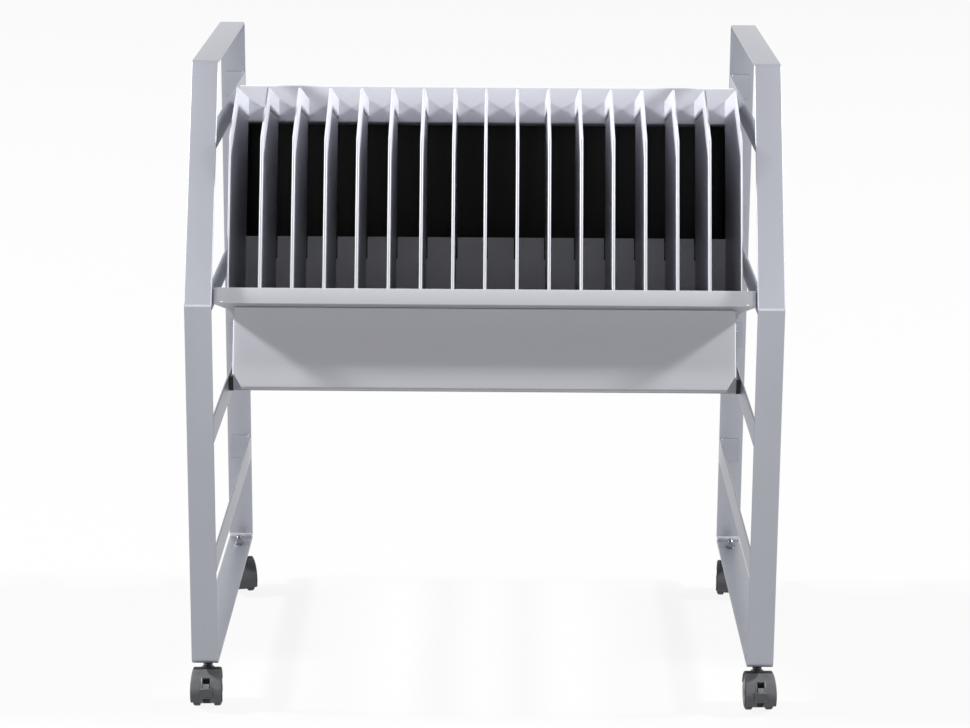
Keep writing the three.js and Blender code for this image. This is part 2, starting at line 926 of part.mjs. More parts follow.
function trayGroup() {
  const group = new THREE.Group();
  group.add(named("tray_pan", trayPan(), trayWhite()));
  for (const [sideName, side] of Object.entries(sides)) {
    const wall = divider((side * wallSpacing) / 2, wallHemThickness, false);
    group.add(named(`side_wall_${sideName}`, wall, trayWhite()));
  }
  dividerXs.forEach((x, i) => {
    const number = String(i + 1).padStart(2, "0");
    group.add(named(`divider_${number}`, divider(x, hemThickness, true), trayWhite()));
  });
  group.add(named("rear_panel", rearPanel(), trayWhite()));
  group.add(named("skirt", skirt(), trayWhite()));
  group.position.set(0, trayFrontY, casterHeight + trayFrontHeight);
  group.rotation.x = -trayTilt;
  return group;
}

function casterGroup(name, side, y, braked, turn) {
  const group = new THREE.Group();
  group.add(named(`${name}_stem`, casterStem(), plasticBlack()));
  group.add(named(`${name}_nut`, casterNut(), zinc()));
  group.add(named(`${name}_housing`, casterHousing(braked), casterGrey()));
  group.add(named(`${name}_axle`, casterAxle(), zinc()));
  group.add(named(`${name}_wheel_left`, casterWheel(-1), tyreGrey()));
  group.add(named(`${name}_wheel_right`, casterWheel(1), tyreGrey()));
  if (braked) group.add(named(`${name}_brake_pedal`, brakePedal(), casterGrey()));
  group.position.set(side * casterX, y, 0);
  group.rotation.z = THREE.MathUtils.degToRad(turn);
  return group;
}

const cart = new THREE.Group();
cart.add(frameGroup(), trayGroup());
for (const [end, y] of Object.entries(casterYs)) {
  for (const [sideName, side] of Object.entries(sides)) {
    const turn = casterTurns[`${end}_${sideName}`];
    cart.add(casterGroup(`caster_${end}_${sideName}`, side, y, end === "front", turn));
  }
}

// The cart is centred front to back on everything it holds.
const extent = new THREE.Box3().setFromObject(cart, true);
cart.position.y = -(extent.min.y + extent.max.y) / 2;

export default cart;
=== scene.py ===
# %% [markdown]
# # An open charging cart for sixteen tablets or slim laptops
# The cart is bent sheet metal: two side frames of flat bar, a tilted tray of upright dividers between them
# and a compartment for the adapters behind, with black painted shade inside. It rolls on four twin-wheel casters.
# The imported solids give every size and place. This lesson dresses them with finer surfaces and real finishes.

# %% Load the frame
import json
import math

import bpy
import numpy as np
from mathutils import Matrix, Vector
from mathutils.geometry import tessellate_polygon


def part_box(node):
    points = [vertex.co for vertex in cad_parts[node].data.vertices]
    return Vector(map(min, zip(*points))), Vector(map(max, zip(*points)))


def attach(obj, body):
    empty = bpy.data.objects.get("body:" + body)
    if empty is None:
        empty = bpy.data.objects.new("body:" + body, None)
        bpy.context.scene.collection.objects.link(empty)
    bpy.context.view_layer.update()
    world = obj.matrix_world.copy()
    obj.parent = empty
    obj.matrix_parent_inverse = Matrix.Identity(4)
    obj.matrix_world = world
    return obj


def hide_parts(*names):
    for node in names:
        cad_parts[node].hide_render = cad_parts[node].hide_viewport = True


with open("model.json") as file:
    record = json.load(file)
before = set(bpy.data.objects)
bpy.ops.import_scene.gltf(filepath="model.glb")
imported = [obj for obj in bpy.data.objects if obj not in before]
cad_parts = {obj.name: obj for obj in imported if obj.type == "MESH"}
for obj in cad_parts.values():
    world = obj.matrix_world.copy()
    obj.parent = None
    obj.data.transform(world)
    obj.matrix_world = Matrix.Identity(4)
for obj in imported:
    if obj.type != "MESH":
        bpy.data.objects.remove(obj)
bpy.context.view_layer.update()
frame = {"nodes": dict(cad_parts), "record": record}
nodes = frame["nodes"]
MM = 0.001

# %% [markdown]
# ## Camera
# The photograph looks down on the cart by 14.6 degrees from about 3.4 metres away with a long lens.
# A camera could be aimed with a Track To constraint, but a photograph's small roll would be lost,
# so its three axes are worked out from pitch, yaw and roll and written into the camera's matrix.

# %% Camera at the photograph's place
FRAME_WIDTH_PX = 970
FOCAL_PX = 2793.985
SENSOR_WIDTH = 36.0
CAMERA_PLACE = (0.01179, -3.20689, 1.18734)
PITCH, YAW, ROLL = (math.radians(a) for a in (14.618, -0.209, 0.348))


def camera_matrix(place, pitch, yaw, roll):
    """Columns are right, up and backward: forward is turned by yaw and dipped by pitch, then both others roll."""
    forward = Vector((math.sin(yaw) * math.cos(pitch), math.cos(yaw) * math.cos(pitch), -math.sin(pitch)))
    level = Vector((math.cos(yaw), -math.sin(yaw), 0))
    upright = level.cross(forward)
    right = math.cos(roll) * level + math.sin(roll) * upright
    up = -math.sin(roll) * level + math.cos(roll) * upright
    turned = Matrix((right, up, -forward)).transposed().to_4x4()
    return Matrix.Translation(place) @ turned


camera = bpy.data.objects.new("camera", bpy.data.cameras.new("camera"))
bpy.context.scene.collection.objects.link(camera)
bpy.context.scene.camera = camera
camera.data.sensor_width = SENSOR_WIDTH
camera.data.lens = FOCAL_PX / FRAME_WIDTH_PX * SENSOR_WIDTH
camera.matrix_world = camera_matrix(CAMERA_PLACE, PITCH, YAW, ROLL)
bpy.context.scene.view_settings.view_transform = "Standard"
print("lens:", round(camera.data.lens, 2), "mm")

# %% [markdown]
# ## Stage
# The cart stands in a white studio. Two small soft boxes far to the left and right, a little behind the front of the
# tray, graze its front: the lip's shadow covers the skirt except for a bright triangle at each end, and the dividers
# throw V-shaped shadows on the panel. A lamp six metres wide in front fills the rest. A sky texture could light the
# cart more simply, but it has no such shadows. The floor bounces a little light and is white to the camera.

# %% Helpers for shader nodes
def add_node(tree, kind, sockets=None, **settings):
    """Adds a node with its own settings; sockets gives an input, by name or number, a value or another output."""
    made = tree.nodes.new(kind)
    for name, value in settings.items():
        setattr(made, name, value)
    for key, value in (sockets or {}).items():
        if isinstance(value, bpy.types.NodeSocket):
            tree.links.new(value, made.inputs[key])
        else:
            made.inputs[key].default_value = value
    return made


def compute(tree, operation, first, second):
    """The output of a Math node; each of its two terms is a number or another output."""
    return add_node(tree, "ShaderNodeMath", {0: first, 1: second}, operation=operation).outputs[0]


def seen_directly(tree):
    """A mask that is 1 for camera, glossy and transmission rays: the larger of the three Light Path outputs."""
    rays = add_node(tree, "ShaderNodeLightPath").outputs
    first = compute(tree, "MAXIMUM", rays["Is Camera Ray"], rays["Is Glossy Ray"])
    return compute(tree, "MAXIMUM", first, rays["Is Transmission Ray"])


# %% World
WHITE = (1, 1, 1, 1)
WORLD_FILL = 0.02


def studio_world():
    """White to the camera, and a weak white fill to everything else."""
    world = bpy.data.worlds.new("studio")
    bpy.context.scene.world = world
    world.use_nodes = True
    tree = world.node_tree
    tree.nodes.clear()
    fill = add_node(tree, "ShaderNodeBackground", {"Color": WHITE, "Strength": WORLD_FILL})
    white = add_node(tree, "ShaderNodeBackground", {"Color": WHITE, "Strength": 1.0})
    mix = add_node(tree, "ShaderNodeMixShader", {0: seen_directly(tree), 1: fill.outputs[0], 2: white.outputs[0]})
    add_node(tree, "ShaderNodeOutputWorld", {"Surface": mix.outputs[0]})


studio_world()
print("world fill:", WORLD_FILL)

# %% Floor
FLOOR_HALF = 9.0
FLOOR_COLOUR = (0.16, 0.16, 0.16, 1)
FLOOR_WHITE = 0.9
SHADOW_COLOUR = (0.05, 0.05, 0.05, 1)


def studio_floor():
    """A flat square under the wheels. To the camera it is white light plus a faint colour that shadows darken."""
    mesh = bpy.data.meshes.new("floor")
    edge = FLOOR_HALF
    mesh.from_pydata([(-edge, -edge, 0), (edge, -edge, 0), (edge, edge, 0), (-edge, edge, 0)], [], [(0, 1, 2, 3)])
    floor = bpy.data.objects.new("floor", mesh)
    bpy.context.scene.collection.objects.link(floor)
    material = bpy.data.materials.new("studio_floor")
    material.use_nodes = True
    tree = material.node_tree
    tree.nodes.clear()
    plain = add_node(tree, "ShaderNodeBsdfDiffuse", {"Color": FLOOR_COLOUR})
    shadowed = add_node(tree, "ShaderNodeBsdfDiffuse", {"Color": SHADOW_COLOUR})
    white = add_node(tree, "ShaderNodeEmission", {"Color": WHITE, "Strength": FLOOR_WHITE})
    lit = add_node(tree, "ShaderNodeAddShader", {0: shadowed.outputs[0], 1: white.outputs[0]})
    mix = add_node(tree, "ShaderNodeMixShader", {0: seen_directly(tree), 1: plain.outputs[0], 2: lit.outputs[0]})
    add_node(tree, "ShaderNodeOutputMaterial", {"Surface": mix.outputs[0]})
    mesh.materials.append(material)


studio_floor()
print("floor:", 2 * FLOOR_HALF, "m wide")

# %% Soft boxes
LAMP_AIM = Vector((0, -0.2, 0.42))
SOFT_BOXES = {
    "soft_box_left": ((-93.0, 33.0), 10.0, (0.8, 0.9), 1700.0),
    "soft_box_right": ((93.0, 33.0), 10.0, (0.8, 0.9), 1450.0),
    "front_fill": ((0.0, 16.0), 4.5, (6.0, 1.6), 76.0),
}


def soft_box(name, way, distance, size, power):
    """A rectangular lamp that faces the cart, placed by azimuth from the front, elevation and distance."""
    azimuth, elevation = (math.radians(a) for a in way)
    flat = math.cos(elevation)
    toward = Vector((math.sin(azimuth) * flat, -math.cos(azimuth) * flat, math.sin(elevation)))
    data = bpy.data.lights.new(name, "AREA")
    data.shape = "RECTANGLE"
    data.size, data.size_y = size
    data.energy = power
    lamp = bpy.data.objects.new(name, data)
    lamp.location = LAMP_AIM + distance * toward
    lamp.rotation_euler = (-distance * toward).to_track_quat("-Z", "Y").to_euler()
    bpy.context.scene.collection.objects.link(lamp)


for name, values in SOFT_BOXES.items():
    soft_box(name, *values)
print("lamps:", len(SOFT_BOXES))

# %% [markdown]
# ## Finishes
# Powder coat is a paint baked from powder: it has a very fine orange-peel skin and a satin gloss. The plastics of the
# casters are moulded with a fine grain. Each finish could have its own nodes, but they share their effects, so these
# are node groups: a pebbled skin, a soft mottling of colour, paint thinned along edges, and dust on upward faces.

# %% Groups shared by the finishes
FLOAT, COLOUR = "NodeSocketFloat", "NodeSocketColor"
PALE = (0.8, 0.8, 0.8, 1)
DUST_COLOUR = (0.42, 0.41, 0.39, 1)
WAVE_SCALE = 60.0
SPECKLE_SCALE = 55.0
EDGE_RANGE = (0.53, 0.65)
LEVEL_FROM = 0.6


def new_group(name, inputs, outputs):
    """A shader node group with named sockets; each input is (name, type, value). Returns it with what it is given."""
    group = bpy.data.node_groups.new(name, "ShaderNodeTree")
    for socket, kind, value in inputs:
        group.interface.new_socket(name=socket, in_out="INPUT", socket_type=kind).default_value = value
    for socket, kind in outputs:
        group.interface.new_socket(name=socket, in_out="OUTPUT", socket_type=kind)
    return group, group.nodes.new("NodeGroupInput").outputs


def noise(group, scale, **values):
    """The value of a noise texture on Object coordinates."""
    where = add_node(group, "ShaderNodeTexCoord").outputs["Object"]
    return add_node(group, "ShaderNodeTexNoise", {"Vector": where, "Scale": scale, **values}).outputs[0]


def mixed(group, factor, first, second):
    """The output of a colour mix; each of its three terms is a value or another output."""
    return add_node(group, "ShaderNodeMix", {0: factor, 6: first, 7: second}, data_type="RGBA").outputs[2]


def pebbled_skin():
    """Height of a fine skin: noise at the pebble's scale, mixed with a coarser wave."""
    group, given = new_group("pebbled_skin", [("Scale", FLOAT, 900.0), ("Waviness", FLOAT, 0.35)], [("Height", FLOAT)])
    fine, coarse = noise(group, given["Scale"], Detail=2.0, Roughness=0.5), noise(group, WAVE_SCALE, Detail=1.0)
    mix = add_node(group, "ShaderNodeMix", {0: given["Waviness"], 2: fine, 3: coarse}, data_type="FLOAT")
    add_node(group, "NodeGroupOutput", {"Height": mix.outputs[0]})
    return group


def soft_mottle():
    """The colour times 1 + amount·(slow noise - 0.5), and the noise itself as a mask."""
    inputs = [("Colour", COLOUR, PALE), ("Amount", FLOAT, 0.05), ("Scale", FLOAT, 9.0)]
    group, given = new_group("soft_mottle", inputs, [("Colour", COLOUR), ("Mask", FLOAT)])
    mask = noise(group, given["Scale"], Detail=4.0, Roughness=0.6)
    share = compute(group, "MULTIPLY", compute(group, "SUBTRACT", mask, 0.5), given["Amount"])
    tone = compute(group, "ADD", share, 1.0)
    tinted = add_node(group, "ShaderNodeVectorMath", {0: given["Colour"], "Scale": tone}, operation="SCALE")
    add_node(group, "NodeGroupOutput", {"Colour": tinted.outputs[0], "Mask": mask})
    return group


def thinned_edges():
    """Coating drawn thin along edges: (pointiness - 0.53)/0.12, times the amount, mixes in the tone below it."""
    inputs = [("Colour", COLOUR, PALE), ("Below", COLOUR, PALE), ("Amount", FLOAT, 0.1)]
    group, given = new_group("thinned_edges", inputs, [("Colour", COLOUR)])
    pointed = add_node(group, "ShaderNodeNewGeometry").outputs["Pointiness"]
    span = {"From Min": EDGE_RANGE[0], "From Max": EDGE_RANGE[1]}
    edge = add_node(group, "ShaderNodeMapRange", {"Value": pointed, **span})
    share = compute(group, "MULTIPLY", edge.outputs[0], given["Amount"])
    add_node(group, "NodeGroupOutput", {"Colour": mixed(group, share, given["Colour"], given["Below"])})
    return group


def settled_dust():
    """Dust on upward faces: (normal z - 0.6)/0.4 times noise times the amount mixes in a pale grey."""
    group, given = new_group("settled_dust", [("Colour", COLOUR, PALE), ("Amount", FLOAT, 0.1)], [("Colour", COLOUR)])
    normal = add_node(group, "ShaderNodeNewGeometry").outputs["Normal"]
    upward = add_node(group, "ShaderNodeSeparateXYZ", {0: normal}).outputs["Z"]
    level = add_node(group, "ShaderNodeMapRange", {"Value": upward, "From Min": LEVEL_FROM})
    speckles = noise(group, SPECKLE_SCALE, Detail=5.0, Roughness=0.7)
    speckled = compute(group, "MULTIPLY", level.outputs[0], speckles)
    share = compute(group, "MULTIPLY", speckled, given["Amount"])
    add_node(group, "NodeGroupOutput", {"Colour": mixed(group, share, given["Colour"], DUST_COLOUR)})
    return group


SKIN, MOTTLE, EDGES, DUST = pebbled_skin(), soft_mottle(), thinned_edges(), settled_dust()
print("groups:", [g.name for g in bpy.data.node_groups])

# %% Finishes
BUMP_HEIGHT = 0.0002
GLOSS_SPREAD = 0.05


def linear(hex_colour):
    """sRGB hex to linear: each channel is divided by 12.92 when small, else raised to 2.4 after the offset."""
    parts = [int(hex_colour[i : i + 2], 16) / 255 for i in (0, 2, 4)]
    return tuple(p / 12.92 if p <= 0.04045 else ((p + 0.055) / 1.055) ** 2.4 for p in parts) + (1,)


def finish(name, colour, below, roughness, metallic, grain, bump, wear, dust):
    """A Principled material: its colour is mottled, thinned along edges and dusted, and its skin is pebbled."""
    material = bpy.data.materials.new(name)
    material.use_nodes = True
    tree = material.node_tree

    def place(group, **sockets):
        return add_node(tree, "ShaderNodeGroup", sockets, node_tree=group).outputs

    tone = place(MOTTLE, Colour=linear(colour))
    worn = place(EDGES, Colour=tone["Colour"], Below=linear(below), Amount=wear)
    dusty = place(DUST, Colour=worn["Colour"], Amount=dust)
    height = place(SKIN, Scale=grain)["Height"]
    skin_bump = add_node(tree, "ShaderNodeBump", {"Strength": bump, "Distance": BUMP_HEIGHT, "Height": height})
    spread = {"Value": tone["Mask"], "To Min": roughness - GLOSS_SPREAD, "To Max": roughness + GLOSS_SPREAD}
    gloss = add_node(tree, "ShaderNodeMapRange", spread)
    shader = tree.nodes["Principled BSDF"]
    shader.inputs["Metallic"].default_value = metallic
    for socket, source in (("Base Color", dusty), ("Roughness", gloss.outputs), ("Normal", skin_bump.outputs)):
        tree.links.new(source[0], shader.inputs[socket])
    return material


# Slot: name, colour, tone below it, roughness, metallic, grain, bump, wear, dust
FINISH_TABLE = {
    "frame_paint": ("frame_powder_coat", "a1a3ab", "8e9098", 0.42, 0.92, 1400, 0.2, 0.35, 0.05),
    "tray_paint": ("tray_powder_coat", "c7c8d0", "a9aab2", 0.38, 0.0, 1600, 0.2, 0.25, 0.04),
    # compartment_paint: near-black painted shade for the compartment's inside, the cover's inside and the spacers
    "compartment_paint": ("compartment_black_painted_shade", "0b0b0c", "0b0b0c", 0.55, 0.0, 1200, 0.3, 0.1, 0.1),
    "black_plastic": ("black_moulding_and_slot_shade", "08080a", "1c1c1e", 0.62, 0.0, 1500, 0.3, 0.2, 0.02),
    "caster_plastic": ("caster_moulding", "5c5d60", "85868a", 0.45, 0.0, 1800, 0.3, 0.5, 0.12),
    "wheel_plastic": ("wheel_tread_and_rim_shade", "303133", "4a4b4d", 0.6, 0.0, 1500, 0.35, 0.3, 0.3),
    "zinc": ("zinc_plate", "808284", "a0a2a4", 0.28, 1.0, 700, 0.2, 0.1, 0.05),
}
FINISHES = {slot: finish(*row) for slot, row in FINISH_TABLE.items()}
print("finishes:", len(FINISHES))

# %% Finishes on the solids
for part in frame["record"]["subparts"]:
    mesh = nodes[part["node"]].data
    mesh.materials.clear()
    mesh.materials.append(FINISHES[part["material_slot"]])

# %% [markdown]
# ## Tools for surfaces
# A shape is a pair: an array of points in millimetres and a list of faces. Bent metal could be drawn vertex by vertex,
# but nearly every piece here is a section carried along a path or a skin over rings, so a few functions make them all.
# Each function returns a closed shell that faces outwards, which a signed volume checks.

# %% Outlines
def rounded(corners, radii, steps=6, closed=True):
    """Each corner becomes an arc: centre + start·cos(t) + quarter-turned start·sin(t), between its tangent points."""
    corners = np.asarray(corners, float)
    count = len(corners)
    parts = []
    for i, radius in enumerate(np.broadcast_to(radii, count)):
        corner = corners[i]
        if radius <= 0 or (not closed and i in (0, count - 1)):
            parts.append(corner[None])
            continue
        back, ahead = corners[i - 1] - corner, corners[(i + 1) % count] - corner
        back, ahead = back / np.linalg.norm(back), ahead / np.linalg.norm(ahead)
        half = math.acos(np.clip(back @ ahead, -1, 1)) / 2
        centre = corner + (back + ahead) / np.linalg.norm(back + ahead) * radius / math.sin(half)
        first = corner + back * radius / math.tan(half) - centre
        last = corner + ahead * radius / math.tan(half) - centre
        turn = math.atan2(first[0] * last[1] - first[1] * last[0], first @ last)
        t = np.linspace(0, turn, steps + 1)[:, None]
        parts.append(centre + np.cos(t) * first + np.sin(t) * np.array((-first[1], first[0])))
    return np.vstack(parts)


def inset(corners, distances):
    """Each side of an anticlockwise outline moves inwards by its distance; neighbours meet in new corners."""
    corners = np.asarray(corners, float)
    along = np.roll(corners, -1, 0) - corners
    along /= np.linalg.norm(along, axis=1)[:, None]
    inward = np.stack((-along[:, 1], along[:, 0]), 1)
    start = corners + inward * np.broadcast_to(distances, len(corners))[:, None]
    last, last_along = np.roll(start, 1, 0), np.roll(along, 1, 0)
    gap = start - last
    cross = last_along[:, 0] * along[:, 1] - last_along[:, 1] * along[:, 0]
    reach = (gap[:, 0] * along[:, 1] - gap[:, 1] * along[:, 0]) / cross
    return last + last_along * reach[:, None]


def box_outline(a0, a1, b0, b1, radius=0.0, steps=4):
    """A rectangle's outline, anticlockwise, with rounded corners."""
    return rounded([(a0, b0), (a1, b0), (a1, b1), (a0, b1)], radius, steps)


# %% Shells
def outward(points, faces):
    """Turns the faces round when the signed volume, a sum of a·(b×c)/6 over a fan of each face, is negative."""
    volume = 0.0
    for face in faces:
        loop = points[list(face)]
        volume += (np.cross(loop[1:-1], loop[2:]) @ loop[0]).sum()
    return (points, [tuple(face)[::-1] for face in faces]) if volume < 0 else (points, faces)


def skin(rings, closed=False):
    """Quads between neighbouring rings of one length, and a face over each end or quads from the last to the first."""
    rings = np.asarray(rings, float)
    rows, count = rings.shape[:2]
    i = np.arange(rows if closed else rows - 1)[:, None]
    j = np.arange(count)[None]
    here, there = i * count, (i + 1) % rows * count
    quads = np.stack((here + j, here + (j + 1) % count, there + (j + 1) % count, there + j), -1).reshape(-1, 4)
    faces = [tuple(q) for q in quads.tolist()]
    if not closed:
        faces += [tuple(range(count))[::-1], tuple(range((rows - 1) * count, rows * count))]
    return outward(rings.reshape(-1, 3), faces)


def carry(section, path, across, closed=False):
    """Ring i is path[i] + a·across + b·mitre[i], where the mitre keeps the section's thickness in both stretches."""
    path, across = np.asarray(path, float), np.asarray(across, float)
    ahead = np.roll(path, -1, 0) - path
    ahead /= np.linalg.norm(ahead, axis=1)[:, None]
    behind = np.roll(ahead, 1, 0)
    if not closed:
        behind[0], ahead[-1] = ahead[0], behind[-1]
    before, after = np.cross(across, behind), np.cross(across, ahead)
    mitre = (before + after) / (1 + np.sum(before * after, 1))[:, None]
    section = np.asarray(section, float)
    rings = path[:, None] + section[None, :, :1] * across + section[None, :, 1:] * mitre[:, None]
    return skin(rings, closed)


def plate(outline, holes, low, high):
    """A flat plate from an outline and holes: both faces are cut into triangles, and each edge gets a wall."""
    loops = [np.asarray(loop, float) for loop in (outline, *holes)]
    flat = np.vstack(loops)
    triangles = tessellate_polygon([[Vector((*p, 0)) for p in loop] for loop in loops])
    count = len(flat)
    points = np.vstack([np.column_stack((flat, np.full(count, level))) for level in (low, high)])
    faces = []
    for triangle in triangles:
        a, b, c = (flat[k] for k in triangle)
        upward = (b[0] - a[0]) * (c[1] - a[1]) - (b[1] - a[1]) * (c[0] - a[0]) > 0
        top = tuple(triangle) if upward else tuple(triangle)[::-1]
        faces += [tuple(k + count for k in top), top[::-1]]
    first = 0
    for number, loop in enumerate(loops):
        area = np.sum(loop[:, 0] * np.roll(loop[:, 1], -1) - loop[:, 1] * np.roll(loop[:, 0], -1))
        forward = (area > 0) == (number == 0)
        for k in range(len(loop)):
            a, b = first + k, first + (k + 1) % len(loop)
            a, b = (a, b) if forward else (b, a)
            faces.append((a, b, b + count, a + count))
        first += len(loop)
    return points, faces


def angles(facets):
    """Directions of a ring's points, from X round to Y."""
    return np.linspace(0, 2 * np.pi, facets, endpoint=False)


def rings_about_z(radii, heights, closed=False):
    """A skin over level rings: x = r·cos(t), y = r·sin(t), with a radius for each level and direction."""
    t = angles(radii.shape[1])
    return skin(np.stack((radii * np.cos(t), radii * np.sin(t), heights[:, None] + 0 * t), -1), closed)


def turned(profile, facets):
    """A lathe about Z: ring k has the radius and height of profile point k; flat faces close both ends."""
    radius, height = np.asarray(profile, float).T
    return rings_about_z(np.repeat(radius[:, None], facets, 1), height)


def joined(*shapes):
    """The shapes as one: each one's face numbers are shifted past the points before it."""
    faces, first = [], 0
    for points, own in shapes:
        faces += [tuple(k + first for k in face) for face in own]
        first += len(points)
    return np.vstack([points for points, own in shapes]), faces


# %% Places
def reordered(shape, order):
    """The shape with its three axes taken in another order, turned round again when that mirrors it."""
    points, faces = shape
    if order in ((0, 2, 1), (1, 0, 2), (2, 1, 0)):
        faces = [face[::-1] for face in faces]
    return points[:, list(order)], faces


def facing_x(shape):
    """A flat outline of Y and Z, with its thickness along X."""
    return reordered(shape, (2, 0, 1))


def facing_y(shape):
    """A flat outline of X and Z, with its thickness along Y."""
    return reordered(shape, (0, 2, 1))


def moved(shape, x=0.0, y=0.0, z=0.0):
    """The shape shifted along its three axes."""
    return shape[0] + np.array((x, y, z)), shape[1]


def mirrored(shape):
    """The shape on the other side of the middle plane, with its faces turned round again."""
    return shape[0] * np.array((-1.0, 1.0, 1.0)), [face[::-1] for face in shape[1]]


def block(x0, x1, y0, y1, z0, z1):
    """A block with sharp edges, which the bevel of its piece rounds."""
    return plate(box_outline(x0, x1, y0, y1), (), z0, z1)


# %% Pieces
BODY_OF = {node: body for body, own in frame["record"]["behaviour"]["bodies"].items() for node in own}
SLOT_OF = {part["node"]: part["material_slot"] for part in frame["record"]["subparts"]}


def size_of(node):
    """Lowest and highest corner of a solid, in millimetres."""
    low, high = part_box(node)
    return np.array(low) / MM, np.array(high) / MM


def dress(node, shape, bevel=0.25, others=(), choice=None, angle=35):
    """Makes the piece that stands for a solid, in the finish of the solid's slot. Others are more slots, and choice
    picks one of them all for each face from its centre and normal."""
    points, faces = shape
    mesh = bpy.data.meshes.new(node + "_fine")
    mesh.from_pydata((points * MM).tolist(), [], faces)
    for slot in (SLOT_OF[node], *others):
        mesh.materials.append(FINISHES[slot])
    if choice:
        centres = np.empty(len(faces) * 3)
        normals = np.empty(len(faces) * 3)
        mesh.polygons.foreach_get("center", centres)
        mesh.polygons.foreach_get("normal", normals)
        index = choice(centres.reshape(-1, 3) / MM, normals.reshape(-1, 3))
        mesh.polygons.foreach_set("material_index", np.asarray(index, np.int32))
    mesh.polygons.foreach_set("use_smooth", np.ones(len(faces), bool))
    mesh.set_sharp_from_angle(angle=math.radians(angle))
    piece = bpy.data.objects.new(mesh.name, mesh)
    bpy.context.scene.collection.objects.link(piece)
    if bevel:
        soft = piece.modifiers.new("soft_edges", "BEVEL")
        soft.width = bevel * MM
        soft.segments = 2
        soft.limit_method = "ANGLE"
        soft.angle_limit = math.radians(angle)
        soft.harden_normals = True
    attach(piece, BODY_OF[node])
    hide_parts(node)
    print(f"{piece.name}: {len(faces)} faces")


# %% [markdown]
# ## Side frames
# Each side frame is one flat bar, bent five times and closed by a weld. A cube with bevels would miss its bends,
# so a rounded section is carried round the bar's middle line, which is the outline moved in by half the thickness.
# Four strips on edge cross each frame. They are carried along a level line and then sheared to the leaning post.

# %% Side frames
BAR_THICKNESS = 3.0
BAR_EDGE = 0.9
BEND_RADIUS = 5.0
POST_LEAN_RUN = 131.0
POST_BEND_HEIGHT = 419.0
frame_low, frame_high = size_of("side_frame_right")
frame_depth, frame_height = frame_high[1] - frame_low[1], frame_high[2] - frame_low[2]
frame_outline = np.array(
    [(0, 0), (frame_depth, 0), (frame_depth, frame_height), (POST_LEAN_RUN, frame_height), (0, POST_BEND_HEIGHT)]
)


def side_frame():
    """The right side frame: the bar's section, X across and thickness inwards, round its closed middle line."""
    middle = rounded(inset(frame_outline, BAR_THICKNESS / 2), BEND_RADIUS + BAR_THICKNESS / 2, 10)
    centre_x = (frame_low[0] + frame_high[0]) / 2
    path = np.column_stack((np.full(len(middle), centre_x), middle + frame_low[1:]))
    half = (frame_high[0] - frame_low[0]) / 2
    section = box_outline(-half, half, -BAR_THICKNESS / 2, BAR_THICKNESS / 2, BAR_EDGE)
    return carry(section, path, (1, 0, 0), closed=True)


right_frame = side_frame()
dress("side_frame_right", right_frame, bevel=0)
dress("side_frame_left", mirrored(right_frame), bevel=0)

# %% Crossbars
CROSSBAR_THICKNESS = 2.0
CROSSBAR_BEND = 3.0
SEAT = 0.3
post_lean = math.atan2(POST_LEAN_RUN, frame_height - POST_BEND_HEIGHT)
post_back_bend = frame_low[2] + inset(frame_outline, BAR_THICKNESS)[-1][1]


def crossbar(level):
    """A strip on edge whose ends turn outwards; near the front each point moves back with the leaning post."""
    low, high = size_of(f"crossbar_{level}_right")
    half, tall, middle = CROSSBAR_THICKNESS / 2, (high[2] - low[2]) / 2, (low[2] + high[2]) / 2
    front, back, inner = frame_low[1] + BAR_THICKNESS + SEAT + half, high[1] - half, low[0] + half
    corners = [(high[0], front), (inner, front), (inner, back), (high[0], back)]
    plan = rounded(corners, CROSSBAR_BEND + half, 8, closed=False)
    path = np.column_stack((plan, np.full(len(plan), middle)))
    levels = [-tall, tall]
    if low[2] < post_back_bend < high[2]:
        levels.insert(1, post_back_bend - middle)
    section = [(z, -half) for z in levels] + [(z, half) for z in reversed(levels)]
    points, faces = carry(section, path, (0, 0, 1))
    near = points[:, 1] < (low[1] + high[1]) / 2
    points[:, 1] += near * np.maximum(0, points[:, 2] - post_back_bend) * math.tan(post_lean)
    return points, faces


for level in ("bottom", "lower", "tray", "upper"):
    bar = crossbar(level)
    dress(f"crossbar_{level}_right", bar, bevel=0.5)
    dress(f"crossbar_{level}_left", mirrored(bar), bevel=0.5)

# %% [markdown]
# ## Tray
# The tray is a folded pan with a lip in front. It could be modelled where it stands, but all its parts tilt alike, so
# everything in it is drawn square to its floor, X across, Y back along the floor and Z up from it, and then tilted.
# The lip is a strip carried round the front corners. Its two ends are undercut so that they clear the crossbars.

# %% The tray's own frame
TRAY_TILT = math.radians(21.3)
LIP_HEIGHT = 17.5
LIP_CORNER = 5.0
STEEL = 1.2
pan_low, pan_high = size_of("tray_pan")
tray_front = np.array((0.0, pan_low[1], pan_high[2] - LIP_HEIGHT * math.cos(TRAY_TILT)))
print("tray's front edge:", tray_front.round(1))


def in_tray(shape):
    """Tilts a shape about X: y' = y·cos + z·sin and z' = z·cos - y·sin, from the tray's front edge."""
    x, y, z = shape[0].T
    cos, sin = math.cos(TRAY_TILT), math.sin(TRAY_TILT)
    return np.column_stack((x, y * cos + z * sin, z * cos - y * sin)) + tray_front, shape[1]


# %% Tray pan
FLOOR_MARGIN = 2.0
GUSSET_FRONT = 5.0
GUSSET_DEPTH = 55.0
GUSSET_CORNER = 3.0
EAR_DEPTH = 50.0
EAR_RISE = 8.0
RELIEF_X = 290.0
RELIEF_HALF_WIDTH = 1.6
RELIEF_RAMP = 0.2
RELIEF_RISE = 2.4
TRAY_DEPTH = 218.5
PANEL_THICKNESS = 1.5
LIP_ROUNDING = (0.2, 0.35, 0.35, 1.0)
panel_back = TRAY_DEPTH + PANEL_THICKNESS + SEAT
wall_x = np.mean(size_of("side_wall_right"), 0)[0]


